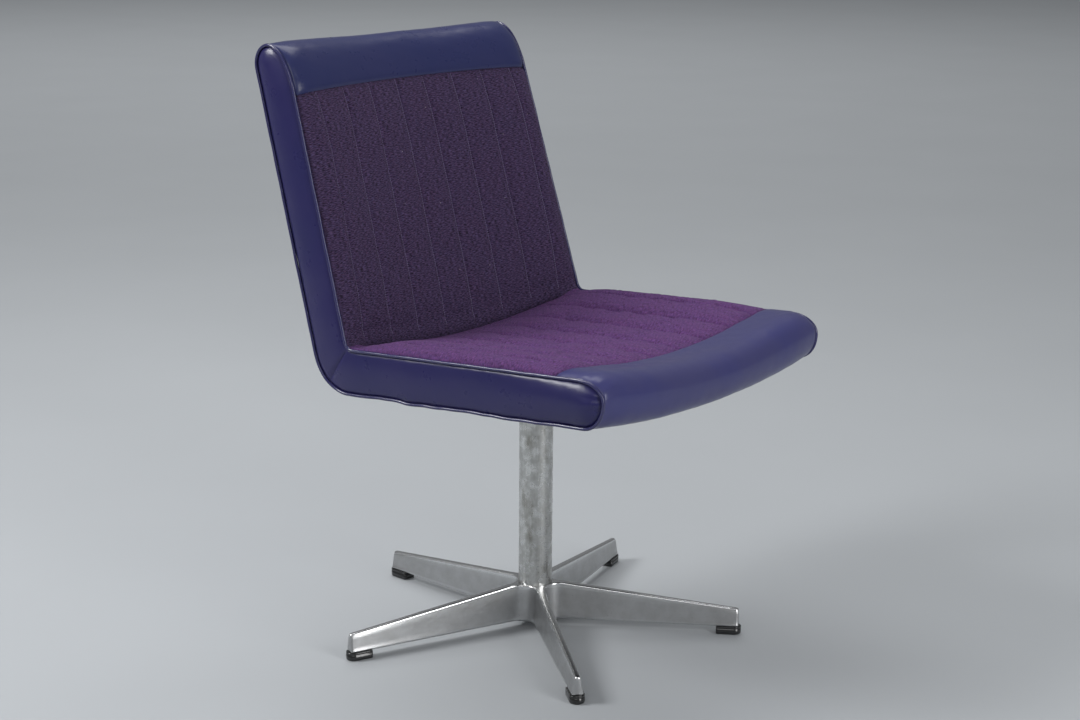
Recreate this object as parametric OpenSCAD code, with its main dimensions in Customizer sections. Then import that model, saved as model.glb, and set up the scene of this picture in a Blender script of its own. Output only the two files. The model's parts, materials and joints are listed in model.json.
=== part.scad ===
// Swivel side chair: a padded shell with a low back on a steel column, over a
// cast base with five arms. Millimetres. The origin is on the floor on the
// swivel axis, +Z is up and a sitter faces -Y.

/* [Seat] */
// Width across the side piping at the fold
seat_w = 506; // [440:2:560]
// Width across the side piping at the front
front_w = 488; // [430:2:550]
// Length along the seat, from the fold to the tip of the nose
seat_len = 433.5; // [420:0.5:480]
// Thickness of the padded shell at its sides
pad_t = 62; // [54:1:72]
// Height of the fold between seat and back, at the sides
fold_h = 437.7; // [400:0.1:480]
// Distance of the fold behind the swivel axis
fold_set = 126; // [115:0.5:150]
// Rise of the seat towards its front, in degrees
seat_pitch = 3.6; // [1:0.1:8]
// Rise of the quilted top next to the side piping
seat_crown = 22; // [6:0.5:24]
// Depth of the dish across the seat's top
seat_sag = 30; // [12:1:34]
// Depth of the dish across the seat's underside
under_sag = 17; // [6:1:22]
// Forward bow of the front edge
front_bow = 4; // [0:1:16]
// Length from the fold to the seam of the front roll
front_seam = 356; // [310:2:360]

/* [Back] */
// Height of the back along its face, from the fold to the top
back_h = 428; // [422:1:500]
// Width across the side piping at the top
top_w = 478; // [420:2:540]
// Lean of the back from upright, in degrees
back_rake = 17; // [9:0.5:22]
// Swell of the quilted face next to the side piping, low on the back
back_crown = 15; // [6:0.5:24]
// The same swell high on the back
top_crown = 23; // [6:0.5:24]
// Depth of the dish across the face of the back
back_sag = 28; // [10:1:32]
// Depth of the dish across the rear of the back
rear_sag = 12; // [4:1:18]
// Length from the fold to the seam of the top roll
top_seam = 350; // [290:2:352]
// Outer radius of the corner under the fold
corner_r = 62; // [50:1:62]
// Radius of the fold at the side piping
fold_side_r = 12; // [6:1:18]
// Radius of the fold in the middle
fold_mid_r = 3; // [2:0.5:6]

/* [Covers] */
// Distance between the quilting seams
channel_pitch = 60.5; // [48:0.5:62]
// Depth of a quilting seam on the seat
seat_channel_dip = 4; // [1:0.5:5]
// Depth of a quilting seam on the back
back_channel_dip = 3; // [1:0.5:5]
// Thickness of the quilted fabric panels
quilt_t = 7; // [6:0.5:10]
// Thickness of the vinyl covers
vinyl_t = 2; // [1.5:0.5:3]
// Thickness of the linings under and behind the shell
lining_t = 1.5; // [1:0.1:2]
// Radius of the piping
piping_r = 2.2; // [1.5:0.1:3]
// Outward swell of the side bands
band_crown = 4; // [1:0.5:8]
// Thickness of the moulded shell
shell_t = 10; // [8:0.5:12]
// Distance of the shell's edges inside the side piping
shell_margin = 3; // [3:1:14]

/* [Base] */
// Radius of the base to the outer ends of the glides
foot_r = 300; // [260:1:330]
// Turn of the base against the seat, in degrees
base_turn = -3.2; // [-36:0.1:36]
// Height of a glide
glide_h = 12; // [9:0.5:14]
// Width of a glide
glide_w = 21.5; // [20:0.5:26]
// Length of a glide
glide_l = 36; // [30:0.5:44]
// Height of the arms' tops at their tips
tip_h = 38; // [34:0.5:44]
// Height of the hub
hub_h = 66; // [64:1:76]
// Width of an arm's top at its tip
arm_tip_w = 8.5; // [7:0.5:11]
// Width of an arm's top at the hub
arm_hub_w = 11.5; // [10:0.5:14]
// Width of an arm along its lower edges
arm_foot_w = 17; // [15:0.5:19]
// Wall of the casting
cast_wall = 3.8; // [3:0.1:4.5]
// Radius of the fillets between the arms
web_r = 24; // [23.5:0.5:27]

/* [Column] */
// Outer diameter of the column
column_d = 48.3; // [46:0.1:48.6]
// Wall of the column
column_wall = 2.6; // [2:0.1:3]
// Depth of the column's socket in the hub
socket_depth = 36; // [28:0.5:36]
// Thickness of the hub's floor
hub_floor = 8; // [6:0.5:8]
// Diameter of the hub bolt
hub_bolt_d = 10; // [8:1:12]
// Thickness of the column's foot plug
plug_t = 14; // [10:1:20]

/* [Swivel] */
// Diameter of the spindle
spindle_d = 25; // [22:0.5:26]
// Length of each bush
bush_l = 30; // [20:1:40]
// Distance between the two bushes
bush_gap = 80; // [40:2:110]
// Diameter of a bearing ball
ball_d = 6; // [5:0.1:6]
// Number of bearing balls
ball_count = 14; // [8:1:15]
// Radial clearance of the spindle in the bushes
running_gap = 0.05; // [0.02:0.01:0.1]
// Radial clearance of parts that are pressed or screwed together
seat_gap = 0.05; // [0.02:0.01:0.1]

/* [Seat plate] */
// Distance of the plate's bolts from the axis, each way
bolt_reach = 70; // [60:1:85]
// Thickness of the seat plate
plate_t = 4; // [3:0.5:6]
// Width of the plate's arms
plate_arm_w = 34; // [28:1:40]
// Diameter of the plate's boss
boss_d = 56; // [50:1:60]
// Height of the boss at the axis
boss_h = 14; // [10:0.5:20]
// Diameter of the plate bolts
bolt_d = 8; // [6:1:8]
// Thickness of the rubber spacers
spacer_t = 3; // [2:0.5:5]

/* [Hidden] */

// Smoothness of the turned parts
$fn = 64;
// Overrun of a cut past the face it opens
cut = 1;
// Gap between sewn or stacked soft parts
join_gap = 0.2;

// Colours of the finishes
cast_colour = [0.72, 0.73, 0.74];
steel_colour = [0.56, 0.57, 0.55];
bright_colour = [0.80, 0.81, 0.82];
black_colour = [0.05, 0.05, 0.06];
nylon_colour = [0.90, 0.89, 0.84];
brass_colour = [0.75, 0.62, 0.30];
ply_colour = [0.76, 0.60, 0.42];
foam_colour = [0.93, 0.86, 0.62];
seat_fabric_colour = [0.36, 0.24, 0.43];
back_fabric_colour = [0.24, 0.18, 0.29];
roll_colour = [0.24, 0.26, 0.46];
band_colour = [0.18, 0.17, 0.42];
piping_colour = [0.36, 0.35, 0.58];
lining_colour = [0.10, 0.10, 0.12];

// Lean of the back against the seat, and half of the turn round their corner
lean = back_rake - seat_pitch;
half_turn = (90 - lean) / 2;
half_w = seat_w / 2;
cover_x = half_w - piping_r - join_gap;
shell_x = half_w - shell_margin;

// The shell tapers from the fold to the front and to the top
function taper(length, full, end_w) = 1 + (end_w / seat_w - 1) * max(length, 0) / full;
// Places in the side view: the length along the seat or the back, and the
// depth below the line of the piping
function seat_at(x, p) = [
    x * taper(p[0], seat_len, front_w),
    fold_set - p[0] * cos(seat_pitch) - p[1] * sin(seat_pitch),
    fold_h + p[0] * sin(seat_pitch) - p[1] * cos(seat_pitch)
];
function back_at(x, p) = [
    x * taper(p[0], back_h, top_w),
    fold_set + p[1] * cos(back_rake) + p[0] * sin(back_rake),
    fold_h - p[1] * sin(back_rake) + p[0] * cos(back_rake)
];

// Across the width: 1 in the middle and 0 at the side piping
function dome(x) = 1 - pow(x / half_w, 2);
// Across the width: 0 at a cover's edge, and 1 once past the reach
crown_reach = 40;
function puff(x) =
    let (in_share = min(max(cover_x - abs(x), 0) / crown_reach, 1))
    pow(1 - pow(1 - in_share, 2), 0.6);

// Along the seat or the back: the crown is lower towards the fold and the roll
fade_run = 90;
fold_crown_share = 0.75;
roll_crown_share = 0.78;
function crown_share(length, seam) =
    let (
        from_fold = min(max(length, 0) / fade_run, 1),
        to_roll = min(max(length - seam + fade_run, 0) / fade_run, 1)
    )
    (fold_crown_share + (1 - fold_crown_share) * (1 - pow(1 - from_fold, 2)))
        * (1 - (1 - roll_crown_share) * pow(to_roll, 2));

// Depths of the four main faces at a length along the seat or the back
function seat_top(x, s) =
    seat_sag * dome(x) - seat_crown * crown_share(s, front_seam) * puff(x);
function seat_under(x) = pad_t + under_sag * dome(x);
function back_face(x, h) =
    let (high_share = min(max(h, 0) / top_seam, 1))
    back_sag * dome(x)
        - (back_crown + (top_crown - back_crown) * high_share) * crown_share(h, top_seam) * puff(x);
function back_rear(x) = pad_t + rear_sag * dome(x);

// The nose of the seat: two quarters of an egg that meet at its tip. The turn
// runs from 0 at the tip to 90 on the top or the underside.
nose_top_depth = 40;
nose_under_depth = 34;
nose_tip_share = 0.4;
nose_swell = 4;
function nose_len(x) = seat_len + nose_swell * puff(x) + front_bow * dome(x);
function nose_top(x) = seat_top(x, front_seam);
function nose_mid(x) = nose_top(x) + (seat_under(x) - nose_top(x)) * nose_tip_share;
function nose_over(x, inset, turn) = [
    nose_len(x) - nose_top_depth + (nose_top_depth - inset) * cos(turn),
    nose_mid(x) - (nose_mid(x) - nose_top(x) - inset) * sin(turn)
];
function nose_below(x, inset, turn) = [
    nose_len(x) - nose_under_depth + (nose_under_depth - inset) * cos(turn),
    nose_mid(x) + (seat_under(x) - inset - nose_mid(x)) * sin(turn)
];

// The top of the back, made the same way
top_face_depth = 70;
top_rear_depth = 26;
top_tip_share = 0.59;
top_swell = 3;
function top_len(x) = back_h + top_swell * puff(x);
function top_face(x) = back_face(x, top_seam);
function top_mid(x) = top_face(x) + (back_rear(x) - top_face(x)) * top_tip_share;
function top_over(x, inset, turn) = [
    top_len(x) - top_face_depth + (top_face_depth - inset) * cos(turn),
    top_mid(x) - (top_mid(x) - top_face(x) - inset) * sin(turn)
];
function top_behind(x, inset, turn) = [
    top_len(x) - top_rear_depth + (top_rear_depth - inset) * cos(turn),
    top_mid(x) + (back_rear(x) - inset - top_mid(x)) * sin(turn)
];

// The corner between two faces at the depths own and other, with radius r. The
// turn runs from 0 on the own face to half_turn on the mitre.
function meet(own, other) = (own * sin(lean) - other) / cos(lean);
function corner_at(own, other, r, turn) = [
    meet(own - r, other - r) - r * sin(turn),
    own - r + r * cos(turn)
];
function fold_r(x) = fold_mid_r + (fold_side_r - fold_mid_r) * pow(abs(x) / half_w, 6);
function seat_fold(x, inset, turn) =
    corner_at(seat_top(x, 0) + inset, back_face(x, 0) + inset, fold_r(x) + inset, turn);
function back_fold(x, inset, turn) =
    corner_at(back_face(x, 0) + inset, seat_top(x, 0) + inset, fold_r(x) + inset, turn);
function seat_corner(x, inset, turn) =
    corner_at(seat_under(x) - inset, back_rear(x) - inset, corner_r - inset, turn);
function back_corner(x, inset, turn) =
    corner_at(back_rear(x) - inset, seat_under(x) - inset, corner_r - inset, turn);

// Two triangles for a face with four corners, which need not be flat
function quad(i, j, k, l) = [[i, j, k], [i, k, l]];

// A closed skin between two grids of points with the same columns and rows.
// Columns run towards +X and rows from the seat's nose towards the back's top,
// and face is the grid on the sitter's side.
module skin(face, far) {
    cols = len(face);
    rows = len(face[0]);
    count = cols * rows;
    points = concat(
        [for (column = face) for (p = column) p],
        [for (column = far) for (p = column) p]
    );
    function a(c, r) = c * rows + r;
    function b(c, r) = count + c * rows + r;
    faces = concat(
        [for (c = [0 : cols - 2]) for (r = [0 : rows - 2])
            for (f = quad(a(c, r), a(c, r + 1), a(c + 1, r + 1), a(c + 1, r))) f],
        [for (c = [0 : cols - 2]) for (r = [0 : rows - 2])
            for (f = quad(b(c, r), b(c + 1, r), b(c + 1, r + 1), b(c, r + 1))) f],
        [for (c = [0 : cols - 2])
            for (f = quad(a(c, 0), a(c + 1, 0), b(c + 1, 0), b(c, 0))) f],
        [for (c = [0 : cols - 2])
            for (f = quad(a(c + 1, rows - 1), a(c, rows - 1),
                b(c, rows - 1), b(c + 1, rows - 1))) f],
        [for (r = [0 : rows - 2])
            for (f = quad(a(0, r + 1), a(0, r), b(0, r), b(0, r + 1))) f],
        [for (r = [0 : rows - 2])
            for (f = quad(a(cols - 1, r), a(cols - 1, r + 1),
                b(cols - 1, r + 1), b(cols - 1, r))) f]
    );
    polyhedron(points = points, faces = faces, convexity = 6);
}
function reversed(list) = [for (i = [len(list) - 1 : -1 : 0]) list[i]];

// Columns of the plain covers
half_shares = [1, 0.985, 0.955, 0.9, 0.82, 0.66, 0.44, 0.22];
plain_shares = concat([for (s = half_shares) -s], [0], reversed(half_shares));
function columns(half) = [for (s = plain_shares) s * half];

// Columns of the quilted panels, close together at each seam
channel_seams = 8;
channel_half = (channel_seams - 1) / 2 * channel_pitch;
channel_shares = [0, 0.1, 0.28, 0.5, 0.72, 0.9];
edge_shares = [0, 0.08, 0.3, 0.6, 0.85];
edge_strip = cover_x - channel_half;
quilt_columns = concat(
    [for (s = edge_shares) s * edge_strip - cover_x],
    [for (k = [0 : channel_seams - 2]) for (s = channel_shares)
        (k + s) * channel_pitch - channel_half],
    [channel_half],
    [for (s = reversed(edge_shares)) cover_x - s * edge_strip]
);
// 1 on a quilting seam and 0 in the middle of a channel
function on_seam(x) =
    let (
        last = (channel_seams - 1) / 2,
        nearest = round(x / channel_pitch - 0.5) + 0.5,
        seam = min(max(nearest, -last), last) * channel_pitch,
        away = min(abs(x - seam) / (channel_pitch / 2), 1)
    )
    pow(1 - away, 3);

// Where a cover is sewn to the next one, it dips over a short run
sewn_dip = 2.5;
sewn_run = 8;
// Length that a roll's vinyl runs on past its rounding
front_tail = 45;
top_tail = 30;
// Setback of the shell's edges from the nose and the top
shell_nose = 38;
shell_top = 30;
shell_inset = vinyl_t + join_gap;
foam_inset = shell_inset + shell_t + join_gap;
// Shares of a quilt's length at which it and the foam under it bend
row_shares = [2 / 3, 1 / 3, 0.12];
// Steps of a rounding, from its flat face to its tip
round_turns = [90, 75, 60, 45, 30, 15];
foam_turns = [90, 60, 30];

// Directions of the five arms
arm_count = 5;
first_arm = 90 + base_turn;
module at_arm(k) {
    rotate([0, 0, first_arm + k * 360 / arm_count]) children();
}

// Casting: arms that taper from the hub, with drafted sides and rounded edges
hub_top_w_half = arm_hub_w / 2;
web_centre = (hub_top_w_half + web_r) / sin(180 / arm_count);
hub_r = web_centre * cos(180 / arm_count);
arm_setback = 3.8;
arm_end = foot_r - arm_setback;
arm_root = 18;
arm_edge_r = 2.5;
// How far the rounding of the webs cuts into the arms' sides, and the radius
// of the hub's block, whose rim lies inside the arms
web_bite = 0.5;
block_r = hub_r - sqrt(2 * web_r * web_bite) / 2;
// Rounding of an arm's tip: how far from the end, how wide and how much lower
tip_round = 6;
tip_place_shares = [1, 0.3, 0];
tip_widths_share = [1, 0.86, 0.6];
tip_drops_share = [0, 0.15, 0.5];
function arm_share(r) = (r - hub_r) / (arm_end - hub_r);
function arm_top(r) = hub_h + (tip_h - hub_h) * arm_share(r);
function arm_half(r) = hub_top_w_half + (arm_tip_w / 2 - hub_top_w_half) * arm_share(r);
function arm_section(r, width_share, drop) =
    let (
        foot = arm_foot_w / 2 * width_share,
        side = arm_half(r) * width_share,
        e = arm_edge_r * width_share,
        top = arm_top(r) - drop,
        soft = e * (1 - cos(45)),
        half = [[foot, glide_h - cut], [side, top - e], [side - soft, top - soft], [side - e, top]]
    )
    concat(
        [for (p = half) [r, p[0], p[1]]],
        [for (p = reversed(half)) [r, -p[0], p[1]]]
    );
module cast_arm() {
    sections = concat(
        [arm_section(arm_root, 1, 0)],
        [for (i = [0 : len(tip_place_shares) - 1])
            arm_section(arm_end - tip_round * tip_place_shares[i], tip_widths_share[i],
                tip_round * tip_drops_share[i])]
    );
    sides = len(sections[0]);
    last = len(sections) - 1;
    polyhedron(
        points = [for (s = sections) for (p = s) p],
        faces = concat(
            [[for (i = [0 : sides - 1]) i]],
            [for (k = [0 : last - 1]) for (i = [0 : sides - 1])
                let (j = (i + 1) % sides, n = k * sides)
                for (f = quad(n + i, n + sides + i, n + sides + j, n + j)) f],
            [[for (i = [sides - 1 : -1 : 0]) last * sides + i]]
        ),
        convexity = 4
    );
}
// Pocket under an arm, open at the floor's side
pocket_start = 37;
pocket_end = 44;
pocket_top_share = 0.35;
module arm_pocket() {
    far = foot_r - pocket_end;
    function ring(r) = [
        [r, -arm_foot_w / 2 + cast_wall, glide_h - cut],
        [r, arm_foot_w / 2 - cast_wall, glide_h - cut],
        [r, arm_half(r) * pocket_top_share, arm_top(r) - cast_wall],
        [r, -arm_half(r) * pocket_top_share, arm_top(r) - cast_wall]
    ];
    polyhedron(
        points = concat(ring(pocket_start), ring(far)),
        faces = concat(
            [[0, 1, 2, 3], [7, 6, 5, 4]],
            [for (i = [0 : 3]) let (j = (i + 1) % 4) for (f = quad(i, i + 4, j + 4, j)) f]
        ),
        convexity = 2
    );
}

column_r = column_d / 2;
column_bore_r = column_r - column_wall;
socket_floor = hub_h - socket_depth;
hub_under = socket_floor - hub_floor;
hub_cavity_r = 19;
hub_bolt_r = hub_bolt_d / 2;
bolt_play = 0.5;
peg_r = 4;
peg_l = 10;
peg_set = 16;
peg_place = foot_r - peg_set;

module base_casting() {
    color(cast_colour)
    difference() {
        union() {
            difference() {
                translate([0, 0, glide_h - cut])
                    cylinder(r = block_r, h = hub_h - glide_h + 2 * cut);
                for (k = [0 : arm_count - 1])
                    at_arm(k + 0.5)
                        translate([web_centre, 0, glide_h - 2 * cut])
                            cylinder(
                                r1 = web_r + web_bite - (arm_foot_w - arm_hub_w) / 2,
                                r2 = web_r + web_bite,
                                h = hub_h - glide_h + 4 * cut
                            );
            }
            for (k = [0 : arm_count - 1]) at_arm(k) cast_arm();
        }
        translate([0, 0, hub_h])
            cylinder(r = foot_r, h = hub_h);
        cylinder(r = foot_r, h = glide_h);
        for (k = [0 : arm_count - 1]) at_arm(k) arm_pocket();
        for (k = [0 : arm_count - 1])
            at_arm(k)
                translate([peg_place, 0, glide_h - cut])
                    cylinder(r = peg_r + seat_gap, h = peg_l + 2 * cut);
        translate([0, 0, socket_floor])
            cylinder(r = column_r + seat_gap, h = socket_depth + cut);
        translate([0, 0, hub_under - cut])
            cylinder(r = hub_bolt_r + bolt_play, h = hub_floor + 2 * cut);
        translate([0, 0, glide_h - cut])
            cylinder(r = hub_cavity_r, h = hub_under - glide_h + cut);
    }
}

// Glide: a black foot with a round outer end, on a peg in the arm's tip
glide_edge = 2;
module glide(k) {
    color(black_colour)
    at_arm(k) {
        difference() {
            union() {
                translate([foot_r - glide_w / 2, 0, 0])
                    cylinder(r = glide_w / 2, h = glide_h);
                translate([foot_r - glide_l, -glide_w / 2, 0])
                    cube([glide_l - glide_w / 2, glide_w, glide_h]);
            }
            for (side = [-1, 1])
                translate([foot_r - glide_l, side * glide_w / 2, -cut])
                    rotate([0, 0, 45])
                        translate([-glide_edge / 2, -glide_edge / 2, 0])
                            cube([glide_edge, glide_edge, glide_h + 2 * cut]);
        }
        translate([peg_place, 0, 0])
            cylinder(r = peg_r, h = glide_h + peg_l);
    }
}
module glide_1() { glide(0); }
module glide_2() { glide(1); }
module glide_3() { glide(2); }
module glide_4() { glide(3); }
module glide_5() { glide(4); }

// Heights of the swivel, worked down from the underside of the seat
spacer_r = 12.5;
plate_depth = seat_under(bolt_reach - spacer_r) + spacer_t;
axis_len = (fold_set - plate_depth * sin(seat_pitch)) / cos(seat_pitch);
plate_z = seat_at(0, [axis_len, plate_depth])[2];
boss_floor = plate_z - plate_t - boss_h;
column_gap = 1;
column_top = boss_floor - column_gap;
collar_set = 2;
collar_r = 20;
collar_under = column_top - collar_set;
race_t = 3;
race_dip = 1;
ball_gap = 0.05;
race_space = ball_d + 2 * ball_gap - 2 * race_dip;
ball_z = collar_under - race_t - race_space / 2;
bearing_under = collar_under - 2 * race_t - race_space;
lower_bush_floor = bearing_under - 2 * bush_l - bush_gap;
spindle_r = spindle_d / 2;
ball_ring_r = (spindle_r + column_bore_r) / 2;
race_rim = 0.4;

module column_tube() {
    color(steel_colour)
    translate([0, 0, socket_floor])
        difference() {
            cylinder(r = column_r, h = column_top - socket_floor);
            translate([0, 0, -cut])
                cylinder(r = column_bore_r, h = column_top - socket_floor + 2 * cut);
        }
}
module foot_plug() {
    color(steel_colour)
    translate([0, 0, socket_floor])
        difference() {
            cylinder(r = column_bore_r - seat_gap, h = plug_t);
            translate([0, 0, -cut])
                cylinder(r = hub_bolt_r, h = plug_t + 2 * cut);
        }
}
hub_washer_r = 14;
hub_washer_t = 2.5;
hub_head_r = 9.8;
hub_head_h = 6.4;
module hub_washer() {
    color(bright_colour)
    translate([0, 0, hub_under - hub_washer_t])
        difference() {
            cylinder(r = hub_washer_r, h = hub_washer_t);
            translate([0, 0, -cut])
                cylinder(r = hub_bolt_r + bolt_play, h = hub_washer_t + 2 * cut);
        }
}
module hub_bolt() {
    head_top = hub_under - hub_washer_t;
    color(bright_colour) {
        translate([0, 0, head_top - hub_head_h])
            cylinder(r = hub_head_r, h = hub_head_h, $fn = 6);
        translate([0, 0, head_top])
            cylinder(r = hub_bolt_r - seat_gap, h = socket_floor + plug_t - cut - head_top);
    }
}

module bush(floor_z) {
    color(nylon_colour)
    translate([0, 0, floor_z])
        difference() {
            cylinder(r = column_bore_r - seat_gap, h = bush_l);
            translate([0, 0, -cut])
                cylinder(r = spindle_r + running_gap, h = bush_l + 2 * cut);
        }
}
module lower_bush() { bush(lower_bush_floor); }
module upper_bush() { bush(bearing_under - bush_l); }

// A race is a flat ring with a groove that the balls run in
module race(floor_z, bore_r, rim_r) {
    color(bright_colour)
    difference() {
        translate([0, 0, floor_z]) cylinder(r = rim_r, h = race_t);
        translate([0, 0, floor_z - cut]) cylinder(r = bore_r, h = race_t + 2 * cut);
        translate([0, 0, ball_z])
            rotate_extrude()
                translate([ball_ring_r, 0]) circle(r = ball_d / 2 + ball_gap);
    }
}
module lower_race() {
    race(bearing_under, spindle_r + race_rim, column_bore_r - seat_gap);
}
module upper_race() {
    race(collar_under - race_t, spindle_r + seat_gap, column_bore_r - race_rim);
}

cage_t = 1.5;
cage_half = (column_bore_r - spindle_r) / 2 - 2 * ball_gap - race_rim;
cage_play = 0.15;
module at_balls() {
    for (k = [0 : ball_count - 1])
        rotate([0, 0, k * 360 / ball_count])
            translate([ball_ring_r, 0, ball_z]) children();
}
module ball_cage() {
    color(brass_colour)
    difference() {
        translate([0, 0, ball_z - cage_t / 2])
            cylinder(r = ball_ring_r + cage_half, h = cage_t);
        translate([0, 0, ball_z - cage_t])
            cylinder(r = ball_ring_r - cage_half, h = 2 * cage_t);
        at_balls()
            translate([0, 0, -cage_t])
                cylinder(r = ball_d / 2 + cage_play, h = 2 * cage_t);
    }
}
module bearing_balls() {
    color(bright_colour) at_balls() sphere(r = ball_d / 2);
}

spigot_r = 14;
spigot_set = 1.2;
spindle_tail = 8;
clip_t = 1.5;
clip_play = 0.3;
clip_depth = 1.2;
clip_rim = 4;
clip_opening = 6;
clip_floor = lower_bush_floor - clip_play - clip_t;
module spindle() {
    color(bright_colour)
    difference() {
        union() {
            translate([0, 0, lower_bush_floor - spindle_tail])
                cylinder(r = spindle_r, h = collar_under - lower_bush_floor + spindle_tail);
            translate([0, 0, collar_under])
                cylinder(r = collar_r, h = boss_floor - collar_under);
            translate([0, 0, boss_floor])
                cylinder(r = spigot_r, h = plate_z - spigot_set - boss_floor);
        }
        difference() {
            translate([0, 0, clip_floor - seat_gap])
                cylinder(r = spindle_r + cut, h = clip_t + 2 * seat_gap);
            translate([0, 0, clip_floor - cut])
                cylinder(r = spindle_r - clip_depth, h = clip_t + 2 * cut);
        }
    }
}
module spindle_clip() {
    color(bright_colour)
    translate([0, 0, clip_floor])
        difference() {
            cylinder(r = spindle_r + clip_rim, h = clip_t);
            translate([0, 0, -cut])
                cylinder(r = spindle_r - clip_depth + seat_gap, h = clip_t + 2 * cut);
            translate([0, -clip_opening / 2, -cut])
                cube([spindle_r + clip_rim + cut, clip_opening, clip_t + 2 * cut]);
        }
}

// The seat's own frame: -Y along the seat and -Z down into the pad
module in_seat() {
    translate([0, fold_set, fold_h]) rotate([-seat_pitch, 0, 0]) children();
}
module at_plate_bolts() {
    in_seat()
        for (sx = [-1, 1]) for (sy = [-1, 1])
            translate([sx * bolt_reach, sy * bolt_reach - axis_len, 0]) children();
}

bolt_r = bolt_d / 2;
plate_disc_r = 46;
rib_t = 4;
rib_h = 10;
rib_tip_share = 0.25;
module seat_plate() {
    bolt_line = bolt_reach * sqrt(2);
    plate_under = plate_depth + plate_t;
    rib_reach = bolt_line - plate_arm_w / 2;
    color(black_colour)
    difference() {
        union() {
            in_seat() translate([0, -axis_len, -plate_under]) {
                cylinder(r = plate_disc_r, h = plate_t);
                for (turn = [45, 135]) rotate([0, 0, turn]) {
                    translate([-bolt_line, -plate_arm_w / 2, 0])
                        cube([2 * bolt_line, plate_arm_w, plate_t]);
                    for (end = [-1, 1])
                        translate([end * bolt_line, 0, 0])
                            cylinder(r = plate_arm_w / 2, h = plate_t);
                }
                for (turn = [45, 135, 225, 315]) rotate([0, 0, turn])
                    translate([0, rib_t / 2, 0]) rotate([90, 0, 0])
                        linear_extrude(rib_t)
                            polygon([
                                [spigot_r + rib_t, plate_t / 2],
                                [rib_reach, plate_t / 2],
                                [rib_reach, -rib_h * rib_tip_share],
                                [spigot_r + rib_t, -rib_h]
                            ]);
            }
            difference() {
                translate([0, 0, boss_floor])
                    cylinder(r = boss_d / 2, h = plate_z - boss_floor + boss_h);
                in_seat()
                    translate([-seat_w / 2, -seat_len, -plate_depth - plate_t / 2])
                        cube([seat_w, seat_len, seat_len]);
            }
        }
        translate([0, 0, boss_floor - cut])
            cylinder(r = spigot_r + seat_gap, h = plate_z - boss_floor + boss_h);
        at_plate_bolts()
            translate([0, 0, -plate_under - cut])
                cylinder(r = bolt_r + bolt_play, h = plate_t + 2 * cut);
    }
}

washer_r = 8;
washer_t = 1.6;
bolt_head_r = 7.5;
bolt_head_h = 5.3;
tee_flange_r = 10;
tee_flange_t = 1.5;
tee_barrel_r = 5.2;
tee_face = seat_under(bolt_reach - tee_flange_r) - shell_inset - shell_t;
tee_end = seat_under(bolt_reach + tee_barrel_r) - shell_inset;
head_depth = plate_depth + plate_t + washer_t;
module plate_bolts() {
    color(bright_colour)
    at_plate_bolts() {
        translate([0, 0, -head_depth - bolt_head_h])
            cylinder(r = bolt_head_r, h = bolt_head_h, $fn = 6);
        translate([0, 0, -head_depth])
            cylinder(r = bolt_r - seat_gap, h = head_depth - tee_face - tee_flange_t);
    }
}
module plate_washers() {
    color(bright_colour)
    at_plate_bolts()
        translate([0, 0, -head_depth])
            difference() {
                cylinder(r = washer_r, h = washer_t);
                translate([0, 0, -cut])
                    cylinder(r = bolt_r + bolt_play, h = washer_t + 2 * cut);
            }
}
module plate_spacers() {
    color(black_colour)
    at_plate_bolts()
        translate([0, 0, -plate_depth])
            difference() {
                cylinder(r = spacer_r, h = spacer_t);
                translate([0, 0, -cut])
                    cylinder(r = bolt_r + bolt_play, h = spacer_t + 2 * cut);
            }
}
module tee_nuts() {
    color(bright_colour)
    at_plate_bolts()
        difference() {
            union() {
                translate([0, 0, -tee_face - tee_flange_t])
                    cylinder(r = tee_flange_r, h = tee_flange_t);
                translate([0, 0, -tee_end])
                    cylinder(r = tee_barrel_r, h = tee_end - tee_face - tee_flange_t / 2);
            }
            translate([0, 0, -tee_end - cut])
                cylinder(r = bolt_r, h = tee_end - tee_face + 2 * cut);
        }
}

// Shares of the turn round the corner at which the shell and its neighbours bend
bend_shares = [0, 1 / 3, 2 / 3, 1];

// Moulded shell of the seat and back in one piece
shell_mid_share = 0.5;
function shell_rows(x, inset) =
    let (
        front = nose_len(x) - shell_nose,
        top = top_len(x) - shell_top
    )
    concat(
        [for (s = [front, front * shell_mid_share])
            seat_at(x, [s, seat_under(x) - inset])],
        [for (t = bend_shares) seat_at(x, seat_corner(x, inset, t * half_turn))],
        [for (t = [2 / 3, 1 / 3, 0]) back_at(x, back_corner(x, inset, t * half_turn))],
        [for (h = [top * shell_mid_share, top])
            back_at(x, [h, back_rear(x) - inset])]
    );
module moulded_shell() {
    color(ply_colour)
    difference() {
        skin(
            [for (x = columns(shell_x)) shell_rows(x, shell_inset + shell_t)],
            [for (x = columns(shell_x)) shell_rows(x, shell_inset)]
        );
        at_plate_bolts() {
            translate([0, 0, -tee_end - boss_h])
                cylinder(r = tee_barrel_r + seat_gap, h = boss_h + tee_end - tee_face);
            translate([0, 0, -tee_face - tee_flange_t])
                cylinder(r = tee_flange_r + seat_gap, h = tee_flange_t + shell_t);
        }
    }
}

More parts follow.
